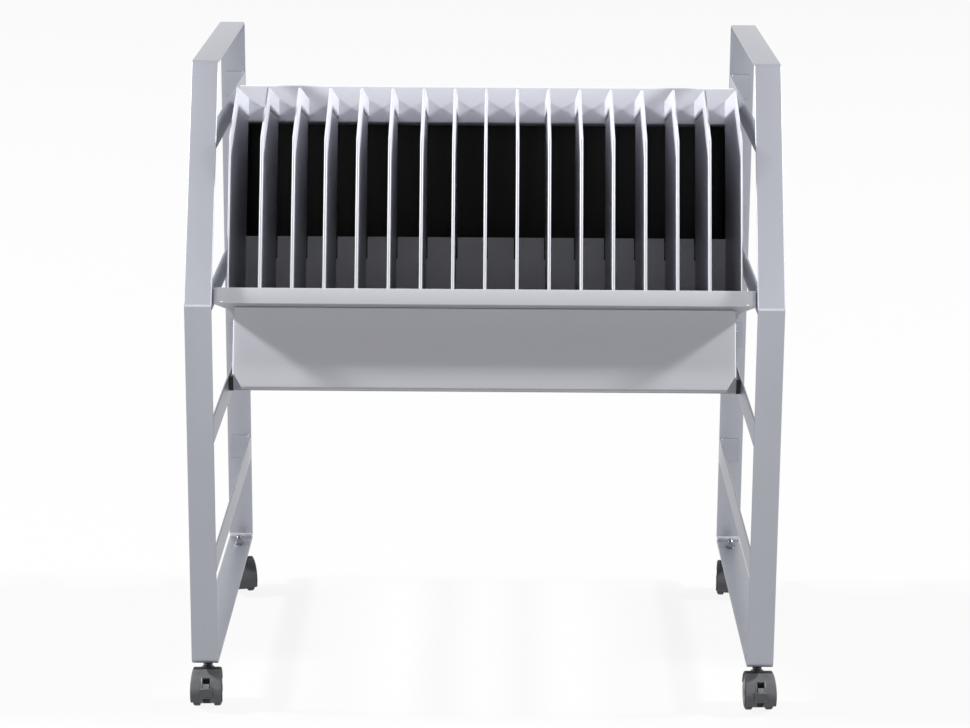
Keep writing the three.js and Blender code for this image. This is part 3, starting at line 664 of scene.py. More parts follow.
def tray_pan():
    """The floor with its gussets, and the lip as a strip round the front; a small relief notch ends each bend."""
    wide, narrow, half = pan_high[0], wall_x + FLOOR_MARGIN, STEEL / 2
    right = [(wide, SEAT), (wide, GUSSET_FRONT), (narrow, GUSSET_DEPTH), (narrow, panel_back)]
    outline = right + [(-x, y) for x, y in reversed(right)]
    bends = (LIP_CORNER, 0, GUSSET_CORNER, 0)
    floor = plate(rounded(outline, bends + bends[::-1]), (), 0, STEEL)
    end = wide - half
    plan = rounded([(-end, EAR_DEPTH), (-end, half), (end, half), (end, EAR_DEPTH)], LIP_CORNER - half, 8, closed=False)
    step = RELIEF_HALF_WIDTH - RELIEF_RAMP
    relief = RELIEF_X + np.array((-RELIEF_HALF_WIDTH, -step, step, RELIEF_HALF_WIDTH))
    front = np.column_stack((np.concatenate((-relief[::-1], relief)), np.full(8, half)))
    split = len(plan) // 2
    plan = np.vstack((plan[:split], front, plan[split:]))
    path = np.column_stack((plan, np.full(len(plan), LIP_HEIGHT / 2)))
    section = box_outline(-LIP_HEIGHT / 2, LIP_HEIGHT / 2, -half, half, LIP_ROUNDING)
    points, faces = carry(section, path, (0, 0, 1))
    x, y, z = points.T
    slope = (EAR_RISE - STEEL) / (EAR_DEPTH - LIP_CORNER)
    undercut = np.where(y > LIP_CORNER, STEEL + (y - LIP_CORNER) * slope, 0)
    at_relief = np.abs(np.abs(x) - RELIEF_X) < RELIEF_HALF_WIDTH - RELIEF_RAMP / 2
    notch = np.where((y < 2 * STEEL) & at_relief, RELIEF_RISE, 0)
    lip = (np.column_stack((x, y, np.maximum(z, np.maximum(undercut, notch)))), faces)
    return in_tray(joined(floor, lip))


dress("tray_pan", tray_pan())

# %% [markdown]
# ## Dividers and side walls
# Each divider is a plate whose front and top edges are folded over to a blunt hem, and a hook at its back goes through
# a notch in the rear panel. The side walls are the same plate with a thinner hem and no hook. Solidify would give the
# hem no round nose, so the outline is moved inwards in steps, and each step gets its height off the middle.

# %% Dividers and side walls
DIVIDER_FRONT = 187.0
DIVIDER_PEAK = 260.0
DIVIDER_REAR = 277.0
CHAMFER_RUN = 80.0
HEM_DEPTH = 24.0
HEM_STEP = 0.5
DIVIDER_THICKNESS = 1.5
HOOK_TOP = 107.0
HOOK_HEIGHT = 18.0
HOOK_REACH = 7.0
HOOK_NECK = 10.0
HOOK_THINNING = 0.02
plate_foot = STEEL + SEAT
plate_back = TRAY_DEPTH - SEAT
divider_outline = np.array(
    [
        (plate_foot, plate_foot),
        (plate_back, plate_foot),
        (plate_back, DIVIDER_REAR),
        (CHAMFER_RUN, DIVIDER_PEAK),
        (plate_foot, DIVIDER_FRONT),
    ]
)


def folded_plate(x, hem):
    """A plate whose front and top are folded over. Ring k of the outline, moved in by d[k] along the folded edges,
    stands off the middle by h[k]: a half round nose, the flat fold and its step down to the plate."""
    nose, half = hem / 2, DIVIDER_THICKNESS / 2
    t = np.linspace(0, np.pi / 2, 6)
    d = np.concatenate((nose * (1 - np.cos(t)), [HEM_DEPTH, HEM_DEPTH + HEM_STEP]))
    h = np.concatenate((nose * np.sin(t), [nose, half]))
    lines = [inset(divider_outline, (0, 0, k, k, k))[[0, 4, 3, 2]] for k in d]
    lines, sides = lines + lines[:0:-1], np.concatenate((h, -h[:0:-1]))
    rings = np.array([[(x + s, *p) for p in line] for s, line in zip(sides, lines)])
    rows, count = rings.shape[:2]
    i, j = np.arange(rows)[:, None], np.arange(count - 1)[None]
    here, there = i * count, (i + 1) % rows * count
    between_plates = np.arange(rows) == len(h) - 1
    quads = np.stack((here + j, here + j + 1, there + j + 1, there + j), -1)[~between_plates].reshape(-1, 4).tolist()
    low_back = divider_outline[1]
    points = np.vstack((rings.reshape(-1, 3), [(x + half, *low_back), (x - half, *low_back)]))
    plus, minus = rows * count, rows * count + 1
    k, m = (len(h) - 1) * count, len(h) * count
    flats = [(k, k + 1, k + 2, k + 3, plus), (m + 3, m + 2, m + 1, m, minus)]
    foot, back = ([r * count + c for r in range(rows)] for c in (0, 3))
    ends = [tuple(rim[: len(h)] + [plus, minus] + rim[len(h) :]) for rim in (foot, back)]
    return outward(points, [tuple(q) for q in quads] + flats + [ends[0], ends[1][::-1]])


def hook(x):
    """A tab through the panel's notch, a hair thinner than the plate that it grows from."""
    half = DIVIDER_THICKNESS / 2 - HOOK_THINNING
    outline = box_outline(TRAY_DEPTH - HOOK_NECK, TRAY_DEPTH + HOOK_REACH, HOOK_TOP - HOOK_HEIGHT, HOOK_TOP)
    return moved(facing_x(plate(outline, (), -half, half)), x)


for node in sorted(nodes):
    if node.startswith(("divider_", "side_wall_")):
        low, high = size_of(node)
        middle = (low[0] + high[0]) / 2
        shape = folded_plate(middle, high[0] - low[0])
        dress(node, in_tray(joined(shape, hook(middle)) if node.startswith("divider_") else shape), bevel=0)

# %% [markdown]
# ## Folded sheets
# The rear panel and the skirt are each one sheet of steel, cut out and folded. Solidify could thicken a folded surface,
# but it would guess the bends. Here the front and the back of the sheet are two grids with the same cells,
# so every bend has its true inner and outer radius, and walls close the cut edges between them.

# %% Tools for folded sheets
BEND_STEPS = 5
BEND_CELLS = BEND_STEPS + 1


def offset(line, distance):
    """An open line moved to its left: each point moves by distance·(n1 + n2)/(1 + n1·n2), n1 and n2 its normals."""
    line = np.asarray(line, float)
    along = np.diff(line, axis=0)
    along /= np.linalg.norm(along, axis=1)[:, None]
    normal = np.stack((-along[:, 1], along[:, 0]), 1)
    before, after = np.vstack((normal[:1], normal)), np.vstack((normal, normal[-1:]))
    return line + distance * (before + after) / (1 + np.sum(before * after, 1))[:, None]


def fold(corners, radii, thickness):
    """Outer and inner line of a folded strip: the inner one lies to the left by the thickness, with smaller bends."""
    radii = np.asarray(radii, float)
    inner_radii = np.where(radii > 0, radii - abs(thickness), 0)
    outer = rounded(corners, radii, BEND_STEPS, closed=False)
    return outer, rounded(offset(corners, thickness), inner_radii, BEND_STEPS, closed=False)


def sheet(*patches):
    """Patches are (front grid, back grid, kept cells, triangles). Equal points merge, each kept cell gives a front and
    a back face, and each edge that only one cell uses gets a wall from front to back."""
    pairs = np.vstack([np.concatenate((front, back), -1).reshape(-1, 6) for front, back, _, _ in patches])
    merged, where = np.unique(np.round(pairs, 4), axis=0, return_inverse=True)
    where, first, cells = where.reshape(-1), 0, []
    for front, _, keep, triangles in patches:
        rows, cols = front.shape[:2]
        i, j = np.nonzero(keep)
        here = first + i * cols + j
        cells.append(where[np.stack((here, here + 1, here + cols + 1, here + cols), 1)])
        if triangles:
            cells.append(where[first + np.array(triangles) @ (cols, 1)])
        first += rows * cols
    edges = np.vstack([np.stack((c, np.roll(c, -1, 1)), -1).reshape(-1, 2) for c in cells])
    count = len(merged)
    rim = edges[~np.isin(edges @ (count, 1), edges[:, ::-1] @ (count, 1))]
    used = np.unique(edges)
    number = np.full(count, -1)
    number[used] = np.arange(len(used))
    cells, rim, past = [number[c] for c in cells], number[rim], len(used)
    walls = np.stack((rim[:, 1], rim[:, 0], rim[:, 0] + past, rim[:, 1] + past), 1)
    faces = [tuple(f) for part in (*cells, *(c[:, ::-1] + past for c in cells), walls) for f in part.tolist()]
    return outward(np.vstack((merged[used, :3], merged[used, 3:])), faces)


def grid(xs, line):
    """Point (i, j) has the X of place j and the Y and Z of line point i."""
    x, y = np.meshgrid(xs, line[:, 0])
    return np.stack((x, y, np.repeat(line[:, 1:], len(xs), 1)), -1)


# %% Rear panel
PANEL_HEIGHT = 293.0
PANEL_FLANGE = 12.0
PANEL_BEND = 2.2
WINDOW_MARGIN = 0.5
WINDOW_BOTTOM = 111.0
WINDOW_TOP = 248.5
NOTCH_WIDTH = 4.2
NOTCH_DEPTH = 26.0
NOTCH_ROW, WINDOW_ROW = 1, 2
divider_xs = np.array([np.mean(size_of(n), 0)[0] for n in sorted(nodes) if n.startswith("divider_")])


def rear_panel():
    """One patch runs up the sheet and over its top flange, without window and notches, the other is the window's
    flange. Columns run from margin to margin, with every second one a notch."""
    wide, window = size_of("rear_panel")[1][0], wall_x - WINDOW_MARGIN
    notch_sides = np.stack((divider_xs - NOTCH_WIDTH / 2, divider_xs + NOTCH_WIDTH / 2), 1).ravel()
    xs = np.concatenate(([-wide, -window], notch_sides, [window, wide]))
    face, flange_end = TRAY_DEPTH, TRAY_DEPTH + PANEL_THICKNESS + PANEL_FLANGE
    levels = [plate_foot, WINDOW_BOTTOM - NOTCH_DEPTH, WINDOW_BOTTOM, WINDOW_TOP + PANEL_BEND]
    upright = [(face, z) for z in levels] + [(face, PANEL_HEIGHT), (flange_end, PANEL_HEIGHT)]
    front, back = fold(upright, (0, 0, 0, 0, PANEL_BEND, 0), -PANEL_THICKNESS)
    keep = np.ones((len(front) - 1, len(xs) - 1), bool)
    keep[WINDOW_ROW, 1:-1] = False
    keep[NOTCH_ROW, 2:-2:2] = False
    lintel = [(flange_end, WINDOW_TOP), (face, WINDOW_TOP), (face, WINDOW_TOP + 2 * PANEL_BEND)]
    under, over = (line[:-1] for line in fold(lintel, (0, PANEL_BEND, 0), -PANEL_THICKNESS))
    flange_keep = np.ones((len(under) - 1, len(xs) - 3), bool)
    upper = (grid(xs, front), grid(xs, back), keep, ())
    lower = (grid(xs[1:-1], under), grid(xs[1:-1], over), flange_keep, ())
    return in_tray(sheet(upper, lower))


dress("rear_panel", rear_panel())

# %% Skirt
SKIRT_SETBACK = 24.0
SKIRT_BEND = 2.0
SKIRT_FLANGE = 22.0
SKIRT_RETURN = 14.0
SKIRT_CHAMFER_WIDTH = 10.0
SKIRT_CHAMFER_HEIGHT = 15.3
SKIRT_HEIGHT = 91.0


def skirt():
    """A cross-shaped cut of cells: folded about upright lines at its ends and about level lines above and below.
    Each grid point adds the depths of both folds, and one triangle fills each cut corner up to the chamfer."""
    wide, deep = size_of("skirt")[1][0], SKIRT_SETBACK
    narrow, shoulder = wide - SKIRT_CHAMFER_WIDTH, SKIRT_CHAMFER_HEIGHT - SKIRT_HEIGHT - SEAT
    low, high, edge = -SEAT - SKIRT_HEIGHT, -SEAT, deep + SKIRT_RETURN
    ends = [(-wide, edge), (-wide, deep), (-narrow, deep), (narrow, deep), (wide, deep), (wide, edge)]
    levels = [(low, edge), (low, deep), (shoulder, deep), (high, deep), (high, deep + SKIRT_FLANGE)]
    across, across_back = fold(ends, (0, SKIRT_BEND, 0, 0, SKIRT_BEND, 0), STEEL)
    up, up_back = fold(levels, (0, SKIRT_BEND, 0, SKIRT_BEND, 0), STEEL)

    def surface(rows, cols, depth):
        x, z = np.meshgrid(cols[:, 0], rows[:, 0])
        return np.stack((x, rows[:, 1][:, None] + cols[:, 1][None] - depth, z), -1)

    rows, cols = len(up) - 1, len(across) - 1
    first, last, foot, head = BEND_CELLS, cols - BEND_CELLS, BEND_CELLS, rows - BEND_CELLS
    keep = np.zeros((rows, cols), bool)
    keep[:, first + 1 : last - 1] = True
    keep[foot + 1 : head, :] = True
    keep[head:, first:last] = True
    cut_left = ((foot + 1, first), (foot, first + 1), (foot + 1, first + 1))
    cut_right = ((foot, last - 1), (foot + 1, last), (foot + 1, last - 1))
    front, back = surface(up, across, deep), surface(up_back, across_back, deep + STEEL)
    return in_tray(sheet((front, back, keep, [cut_left, cut_right])))


dress("skirt", skirt())

# %% [markdown]
# ## Rear compartment
# The adapters stand in a folded steel tube behind the panel, with a screwed cover and a strip of sockets.
# Two boxes and a Boolean would leave sharp, thin corners, so the tube is a strip carried round its bends,
# closed by two end plates. It is white outside like the tray. Inside it is painted black, a painted shade
# for the dark that the window in the panel shows.

# %% Compartment walls
COMPARTMENT_STEEL = 1.5
COMPARTMENT_BEND = 2.4
INLET_CLEARANCE = 0.3
SPACER_LENGTH = 70.0
SPACER_LOWER_HEIGHT = 17.5
SPACER_UPPER_HEIGHT = 10.0
SPACER_UPPER_FRONT = 143.0
INLET_BODY = (30.0, 20.0)
box_low, box_high = size_of("rear_housing")
box_half = size_of("rear_cover")[1][0]
inlet_low, inlet_high = size_of("power_inlet")
inlet_y, inlet_z = (inlet_low[1:] + inlet_high[1:]) / 2


def rectangle_at(y, z, width, height, radius=0.0):
    """An outline of Y and Z about a centre."""
    return box_outline(y - width / 2, y + width / 2, z - height / 2, z + height / 2, radius)


def compartment_outline():
    """The tube's section: level below and above, upright in front, and following the tray's floor and panel between."""
    (foot, corner), _ = in_tray((np.array([(0.0, panel_back, 0.0), (0.0, panel_back + SEAT, -SEAT)]), []))
    slope = math.tan(TRAY_TILT)
    front, back, bottom, top = box_low[1], box_high[1], box_low[2], box_high[2]
    lean = (foot[1] + (top - foot[2]) * slope, top)
    shoulder = (front, corner[2] + (corner[1] - front) * slope)
    return np.array([(front, bottom), (back, bottom), (back, top), lean, corner[1:], shoulder])


def strip(line, half, thickness, radius):
    """A sheet carried along a line of Y and Z, which is its outer face; the inner one lies to the right."""
    middle = rounded(offset(line, -thickness / 2), radius - thickness / 2, 6, closed=False)
    path = np.column_stack((np.zeros(len(middle)), middle))
    return carry(box_outline(-half, half, -thickness / 2, thickness / 2), path, (1, 0, 0))


def rear_housing():
    """Two strips and two end plates, with the spacers by which it is screwed to the crossbars. The spacers are black
    painted shade for the gap beside the crossbars.
    """
    outline, t, bend = compartment_outline(), COMPARTMENT_STEEL, COMPARTMENT_BEND
    around = strip(outline[[1, 0, 5, 4]], box_half - t, t, bend)
    above = strip(outline[[3, 2]], box_half - t, t, bend)
    end = rounded(outline, (bend, 0, 0, 0, 0, bend), 6)
    hole = rectangle_at(inlet_y, inlet_z, *(s + 2 * INLET_CLEARANCE for s in INLET_BODY))
    right = facing_x(plate(end, [hole], box_half - t, box_half))
    left = facing_x(plate(end, (), -box_half, t - box_half))
    front, bottom, top, seat = box_low[1], box_low[2], box_high[2], box_high[0]
    upper = front + SPACER_UPPER_FRONT
    low_spacer = block(box_half, seat, front, front + SPACER_LENGTH, bottom, bottom + SPACER_LOWER_HEIGHT)
    high_spacer = block(box_half, seat, upper, upper + SPACER_LENGTH, top - SPACER_UPPER_HEIGHT, top)
    spacers = joined(low_spacer, high_spacer)
    return joined(around, above, right, left, spacers, mirrored(spacers))


def white_outside(centres, normals):
    """1 where a face looks away from the compartment's middle and belongs to its walls. The rest, inside and on the
    spacers, stays black as painted shade.
    """
    middle = np.array((0, *(box_low[1:] + box_high[1:]) / 2))
    away = np.einsum("ij,ij->i", centres - middle, normals) > 0
    return away & (np.abs(centres[:, 0]) < box_half + 0.01)


# Faces inside the compartment and the spacers keep the black painted shade.
dress("rear_housing", rear_housing(), others=("tray_paint",), choice=white_outside)

# %% [markdown]
# ## Cover
# A plate with vents closes the compartment at the back. Its rim slides into the tube, and eight pan-head screws hold
# it. The vents could be dark stripes in a material, but light should pass through them, so they are holes.

# %% Cover
COVER_CORNER = 3.0
COVER_RIM = 14.0
RIM_INSET = 1.8
RIM_CORNER = 2.5
VENT_COUNT = 18
VENT_PITCH = 14.0
VENT_SIZE = (5.0, 46.0)
VENT_RISE = 46.0
COVER_SCREWS_X = (-284.0, -95.0, 95.0, 284.0)
SCREW_EDGE = 9.0
SCREW_PROFILE = np.array([(3.6, 0), (3.6, 0.8), (2.9, 1.7), (1.4, 2.1), (0.9, 2.1), (0.7, 1.2), (0.01, 1.2)])


def rear_cover():
    """A plate with rounded vents, a rim that reaches into the tube, and pan-head screws on the back."""
    low, high = size_of("rear_cover")
    t, wide, back = COMPARTMENT_STEEL, high[0], high[1]
    xs = (np.arange(VENT_COUNT) - (VENT_COUNT - 1) / 2) * VENT_PITCH
    half, foot = VENT_SIZE[0] / 2, low[2] + VENT_RISE
    vents = [box_outline(x - half, x + half, foot, foot + VENT_SIZE[1], half - 0.1) for x in xs]
    face = facing_y(plate(box_outline(-wide, wide, low[2], high[2], COVER_CORNER), vents, back - t, back))

    def rim_line(inward):
        edge = RIM_INSET + inward
        return box_outline(edge - wide, wide - edge, low[2] + edge, high[2] - edge, RIM_CORNER - inward)

    rim = facing_y(plate(rim_line(0), [rim_line(t)], back - t - COVER_RIM, back - t))
    head = facing_y(turned(SCREW_PROFILE, 20))
    heights = (low[2] + SCREW_EDGE, high[2] - SCREW_EDGE)
    return joined(face, rim, *(moved(head, x, back, z) for x in COVER_SCREWS_X for z in heights))


def cover_choice(centres, normals):
    """White on the plate's outer side, zinc on the screws' heads and black painted shade inside."""
    back = size_of("rear_cover")[1][1] + 0.01
    return np.where(centres[:, 1] > back, 2, (centres[:, 1] > back - COMPARTMENT_STEEL).astype(int))


dress("rear_cover", rear_cover(), others=("tray_paint", "zinc"), choice=cover_choice)

# %% [markdown]
# ## Power strip and inlet
# Sixteen adapters plug into a long strip in the compartment, and a lead plugs into an inlet in its right wall. Booleans
# could cut the sockets out of a block. Flat plates with holes, one on another, give the same steps with clean meshes.

# %% Power strip
OUTLET_PITCH = 32.0
OUTLET_COUNT = 16
OUTLET_SIZE = (22.0, 30.0)
OUTLET_CORNER = 4.0
OUTLET_RECESS = 3.0
PIN_DEPTH = 5.0
BLADE_X, BLADE_HALF, BLADE_SPAN = 6.3, 0.9, (-1.5, 5.5)
GROUND_HALF, GROUND_SPAN, GROUND_CORNER = 2.4, (-9.4, -4.6), 2.3


def power_strip():
    """Three layers: a block, a layer with the slots for the pins, and a layer with the outlets' recesses."""
    low, high = size_of("power_strip")
    middle = (low[1] + high[1]) / 2
    xs = (np.arange(OUTLET_COUNT) - (OUTLET_COUNT - 1) / 2) * OUTLET_PITCH

    def slots(centres, half, span, radius=0.0):
        return [box_outline(x - half, x + half, middle + span[0], middle + span[1], radius) for x in centres]

    body = box_outline(low[0], high[0], low[1], high[1], OUTLET_CORNER)
    wide, deep = (s / 2 for s in OUTLET_SIZE)
    recesses = slots(xs, wide, (-deep, deep), OUTLET_CORNER)
    blades = slots((xs[:, None] + (-BLADE_X, BLADE_X)).ravel(), BLADE_HALF, BLADE_SPAN)
    ground = slots(xs, GROUND_HALF, GROUND_SPAN, GROUND_CORNER)
    levels = (low[2], high[2] - OUTLET_RECESS - PIN_DEPTH, high[2] - OUTLET_RECESS, high[2])
    layers = zip(((), blades + ground, recesses), levels, levels[1:])
    return joined(*(plate(body, holes, foot, top) for holes, foot, top in layers))


dress("power_strip", power_strip(), bevel=0.3)

# %% Power inlet
FLANGE_THICKNESS = 2.0
MOUTH_SIZE = (24.0, 15.5)
MOUTH_CHAMFER = 4.5
MOUTH_DEPTH = 15.0
MOUTH_CORNER, FLANGE_CORNER, BODY_CORNER, PIN_CORNER = 0.8, 3.0, 0.6, 0.4
PIN_SIZE = (2.0, 5.0)
PIN_LENGTH = 10.0
PIN_ROOT = 0.5
PIN_SPACING = 7.0
INLET_SCREW = 20.0
INLET_SCREW_SCALE = 0.62


def power_inlet():
    """An appliance inlet: a flange, a body with a mouth whose two upper corners are cut, three pins and two screws."""
    outer, inner = inlet_high[0], inlet_low[0]
    (wide, tall), cut = np.array(MOUTH_SIZE) / 2, MOUTH_CHAMFER
    lower, upper = [(-wide, -tall), (wide, -tall)], [(wide - cut, tall), (cut - wide, tall)]
    corners = [*lower, (wide, tall - cut), *upper, (-wide, tall - cut)]
    mouth = rounded(corners, MOUTH_CORNER, 3) + (inlet_y, inlet_z)
    root, face = outer - MOUTH_DEPTH, outer - FLANGE_THICKNESS
    flange = rectangle_at(inlet_y, inlet_z, *(inlet_high[1:] - inlet_low[1:]), FLANGE_CORNER)
    body = rectangle_at(inlet_y, inlet_z, *INLET_BODY, BODY_CORNER)
    layers = [plate(flange, [mouth], face, outer), plate(body, [mouth], root, face), plate(body, (), inner, root)]
    blades = [rectangle_at(inlet_y + k * PIN_SPACING, inlet_z, *PIN_SIZE, PIN_CORNER) for k in (-1, 0, 1)]
    pins = [plate(blade, (), root - PIN_ROOT, root + PIN_LENGTH) for blade in blades]
    head = facing_x(turned(SCREW_PROFILE * INLET_SCREW_SCALE, 20))
    heads = [moved(head, outer, inlet_y + s, inlet_z) for s in (-INLET_SCREW, INLET_SCREW)]
    return joined(*(facing_x(part) for part in layers + pins), *heads)


def inlet_choice(centres, normals):
    """Zinc on the screws' heads and on the pins."""
    x, y, z = centres.T
    y, z, out = np.abs(y - inlet_y), np.abs(z - inlet_z), x - inlet_high[0]
    pin = (out > 0.1 - MOUTH_DEPTH) & (out < -1) & (z < PIN_SIZE[1] / 2 + 0.1) & (y < PIN_SPACING + 1.2)
    return ((out > 0.01) | pin).astype(int)


dress("power_inlet", power_inlet(), bevel=0, others=("zinc",), choice=inlet_choice)

# %% [markdown]
# ## Casters
# Each caster is a twin wheel under a hood that turns about a threaded stem. Everything is drawn about the stem's axis,
# with the ground at zero and the axle 17 mm in front, and then turned and placed as the joints say.
# The hood could be cut from a cylinder, but its width changes along its arc, so it is a surface of two parameters:
# the angle about the axle and the place across.

# %% Where each caster stands
JOINTS = {joint["name"]: joint for joint in frame["record"]["behaviour"]["joints"]}
AXLE_BACK = -17.0
AXLE_HEIGHT = 20.0
CASTERS = ("front_left", "front_right", "rear_left", "rear_right")
print("casters:", CASTERS)


def joint_of(caster, joint):
    """A joint's place in millimetres and its axis."""
    found = JOINTS[f"caster_{caster}_{joint}"]
    return np.array(found["pos_m"]) / MM, np.array(found["axis"])


def stand(shape, caster):
    """x' = x·cos - y·sin and y' = x·sin + y·cos about the stem, then on to the stem's place."""
    cos, sin, _ = joint_of(caster, "roll_left")[1]
    place, _ = joint_of(caster, "swivel")
    x, y, z = shape[0].T
    return np.column_stack((x * cos - y * sin + place[0], x * sin + y * cos + place[1], z)), shape[1]


def from_axle(centres, caster):
    """Distance of points from the line through the axle."""
    there, across = joint_of(caster, "roll_left")
    return np.linalg.norm(np.cross(centres - there, across), axis=1)


def about_axle(profile, facets):
    """A lathe about the axle: the profile's heights run along X."""
    return moved(facing_x(turned(profile, facets)), 0, AXLE_BACK, AXLE_HEIGHT)


# %% Hood
HOOD_INNER = 21.0
HOOD_OUTER = 24.3
HOOD_EDGE = 1.8
HOOD_CROWN = 32.4
HOOD_BELLY = 36.8
BACK_EDGE_RISE, FRONT_EDGE_DROP, SLOT_RISE = 5, 9, 18
HOOD_ENDS = (math.asin(BACK_EDGE_RISE / HOOD_OUTER), math.pi + math.asin(FRONT_EDGE_DROP / HOOD_OUTER))
SLOT_HALF = 4.1
SLOT_START = math.pi - math.asin(SLOT_RISE / HOOD_OUTER)
RIM_WIDTH = 1.0
RIM_FALL = 0.6
RIM_RISE = 0.45
HOOD_ROWS = 40
# Angles over the crown between which the hood is black
CROWN_BLACK_BAND = (math.radians(60), math.radians(99))


def hood(braked):
    """Point (angle, u): X = u·half, out to the edge's arc; the radius is the outer one plus a rim beside the slot."""
    angle = np.linspace(*HOOD_ENDS, HOOD_ROWS)
    if braked:
        angle = np.append(angle, SLOT_START - np.array((0, RIM_WIDTH, RIM_WIDTH + RIM_FALL)) / HOOD_OUTER)
    angle = np.sort(np.append(angle, CROWN_BLACK_BAND))
    half = (HOOD_CROWN + (HOOD_BELLY - HOOD_CROWN) * np.sin(np.maximum(angle - np.pi / 2, 0))) / 2
    t = np.linspace(0, np.pi / 2, 6)
    from_edge, drop = HOOD_EDGE * (1 - np.cos(t)), HOOD_EDGE * (1 - np.sin(t))
    near = SLOT_HALF + np.array((RIM_WIDTH + RIM_FALL, RIM_WIDTH, 0))
    left = np.concatenate((from_edge - half[:, None], np.broadcast_to(-near, (len(angle), 3))), 1)
    x = np.concatenate((left, -left[:, ::-1]), 1)
    gone = np.concatenate((drop, np.zeros(3)))
    gone = np.concatenate((gone, gone[::-1]))
    away = np.hypot(np.maximum(np.abs(x) - SLOT_HALF, 0), HOOD_OUTER * np.maximum(SLOT_START - angle, 0)[:, None])
    rise = RIM_RISE * np.clip((RIM_WIDTH + RIM_FALL - away) / RIM_FALL, 0, 1) * braked
    outer = HOOD_OUTER - gone + rise
    cos, sin = np.cos(angle)[:, None], np.sin(angle)[:, None]
    front = np.stack((x, cos * outer + AXLE_BACK, sin * outer + AXLE_HEIGHT), -1)
    back = np.stack((x, cos * HOOD_INNER + AXLE_BACK + 0 * x, sin * HOOD_INNER + AXLE_HEIGHT + 0 * x), -1)
    keep = np.ones((len(angle) - 1, x.shape[1] - 1), bool)
    if braked:
        keep[angle[:-1] > SLOT_START - 1e-6, len(near) + len(t) - 1] = False
    return sheet((front, back, keep, ()))


# %% Body under the hood
BODY_HALF = 7.0
BODY_RADIUS = 17.5
BODY_BACK = 5.4
SHOULDER, TOWER_TOP, TOWER_FRONT = 36.0, 41.0, 40.0
FORK_END = -24.9
SOCKET_PROFILE = [(5.4, 28), (5.4, 43.7), (4.8, 44.3), (0.02, 44.3)]
CUP_RADIUS = 5.6
CUP_FOOT = 40.0
PAINTED_SHADE_RIMS_FROM = 14.0


def body_outline(front):
    """The hub's arc from its front, round below to the axle's level behind, and the tower up to the hood."""
    reach = math.acos(np.clip((front - AXLE_BACK) / BODY_RADIUS, -1, -0.5))
    start = 2 * math.pi - reach if front > AXLE_BACK - BODY_RADIUS else 2 * math.pi / 3
    t = np.linspace(start, 2 * math.pi, 28)
    arc = np.column_stack((np.cos(t), np.sin(t))) * BODY_RADIUS + (AXLE_BACK, AXLE_HEIGHT)
    corner = (max(front, AXLE_BACK - BODY_RADIUS / 2), TOWER_FRONT)
    return np.vstack(([(BODY_BACK, AXLE_HEIGHT), (BODY_BACK, SHOULDER), (0, TOWER_TOP), corner], arc))


def caster_housing(braked):
    """The hood on a body of one plate, or of two cheeks with a shorter plate between them, where the pedal goes in."""
    whole = body_outline(-math.inf)
    if braked:
        cheek = facing_x(plate(whole, (), SLOT_HALF, BODY_HALF))
        body = joined(cheek, mirrored(cheek), facing_x(plate(body_outline(FORK_END), (), -SLOT_HALF, SLOT_HALF)))
    else:
        body = facing_x(plate(whole, (), -BODY_HALF, BODY_HALF))
    return joined(hood(braked), body, turned(SOCKET_PROFILE, 32))


def hood_choice(caster):
    """Black on the swivel's cup and on a band over the crown, black painted shade on the middle of the body under the
    hood, and the wheels' darker plastic as painted shade on the rims beside the wheels.
    """
    across, stem = joint_of(caster, "roll_left")[1], joint_of(caster, "swivel")[0]
    level = np.cross((0, 0, 1), across)

    def choose(centres, normals):
        there = centres - stem
        behind, high = there @ level - AXLE_BACK, centres[:, 2] - AXLE_HEIGHT
        angle, reach = np.arctan2(high, behind), np.hypot(behind, high)
        crown = (reach > HOOD_INNER + 0.5) & (angle > CROWN_BLACK_BAND[0]) & (angle < CROWN_BLACK_BAND[1])
        cup = (np.hypot(there[:, 0], there[:, 1]) < CUP_RADIUS) & (centres[:, 2] > CUP_FOOT)
        aside = np.abs(there @ across)
        # The hood's rims beside the wheels get the wheels' darker plastic as painted shade.
        rim = (np.abs(normals @ across) > 0.3) & (aside > PAINTED_SHADE_RIMS_FROM) & (reach > HOOD_INNER)
        # The body's faces under the hood, seen through the slot, are black as painted shade.
        slot_painted_shade = (aside < SLOT_HALF + 0.1) & (reach < HOOD_INNER - 0.1)
        return np.where(crown | cup | slot_painted_shade, 1, 2 * rim)

    return choose


for caster in CASTERS:
    shape = stand(caster_housing(caster.startswith("front")), caster)
    darker = ("black_plastic", "wheel_plastic")
    dress(f"caster_{caster}_housing", shape, others=darker, choice=hood_choice(caster))

# %% [markdown]
# ## Wheels
# A dark tread runs round a paler disc with a cap at its middle. Two cylinders would show no groove between them,
# so the wheel is one profile turned about the axle, and each face takes its plastic from its distance to the axle.

# %% Wheels and axles
WHEEL_IN = 7.7
WHEEL_OUT = 17.3
WHEEL_RADIUS = 20.0
DISC_RADIUS = 16.3
AXLE_RADIUS = 2.5
AXLE_HALF = 14.4
DISC_PROFILE = [(DISC_RADIUS - 0.1, 15.2), (15.6, 15.2), (15.3, 15.8), (11, 16.4), (5.6, 16.7), (5.4, 16.3)]
DISC_PROFILE += [(5.0, 16.3), (4.8, 17.0), (4.2, 17.3), (0.02, 17.3)]


def wheel_profile():
    """Radius and place along the axle: inner face, rounded tread, a groove, the domed disc and its cap."""
    shoulder = WHEEL_OUT - 1.2
    tread = [(DISC_RADIUS, WHEEL_IN), (WHEEL_RADIUS, WHEEL_IN), (WHEEL_RADIUS, shoulder), (DISC_RADIUS, shoulder)]
    outer = rounded(tread, (0, 1.8, 2.8, 0), 6, closed=False)
    return np.vstack(([(0.02, WHEEL_IN)], outer, DISC_PROFILE))


def wheel_choice(caster):
    """Picks the disc's plastic within the disc's radius of the axle."""
    return lambda centres, normals: from_axle(centres, caster) < DISC_RADIUS


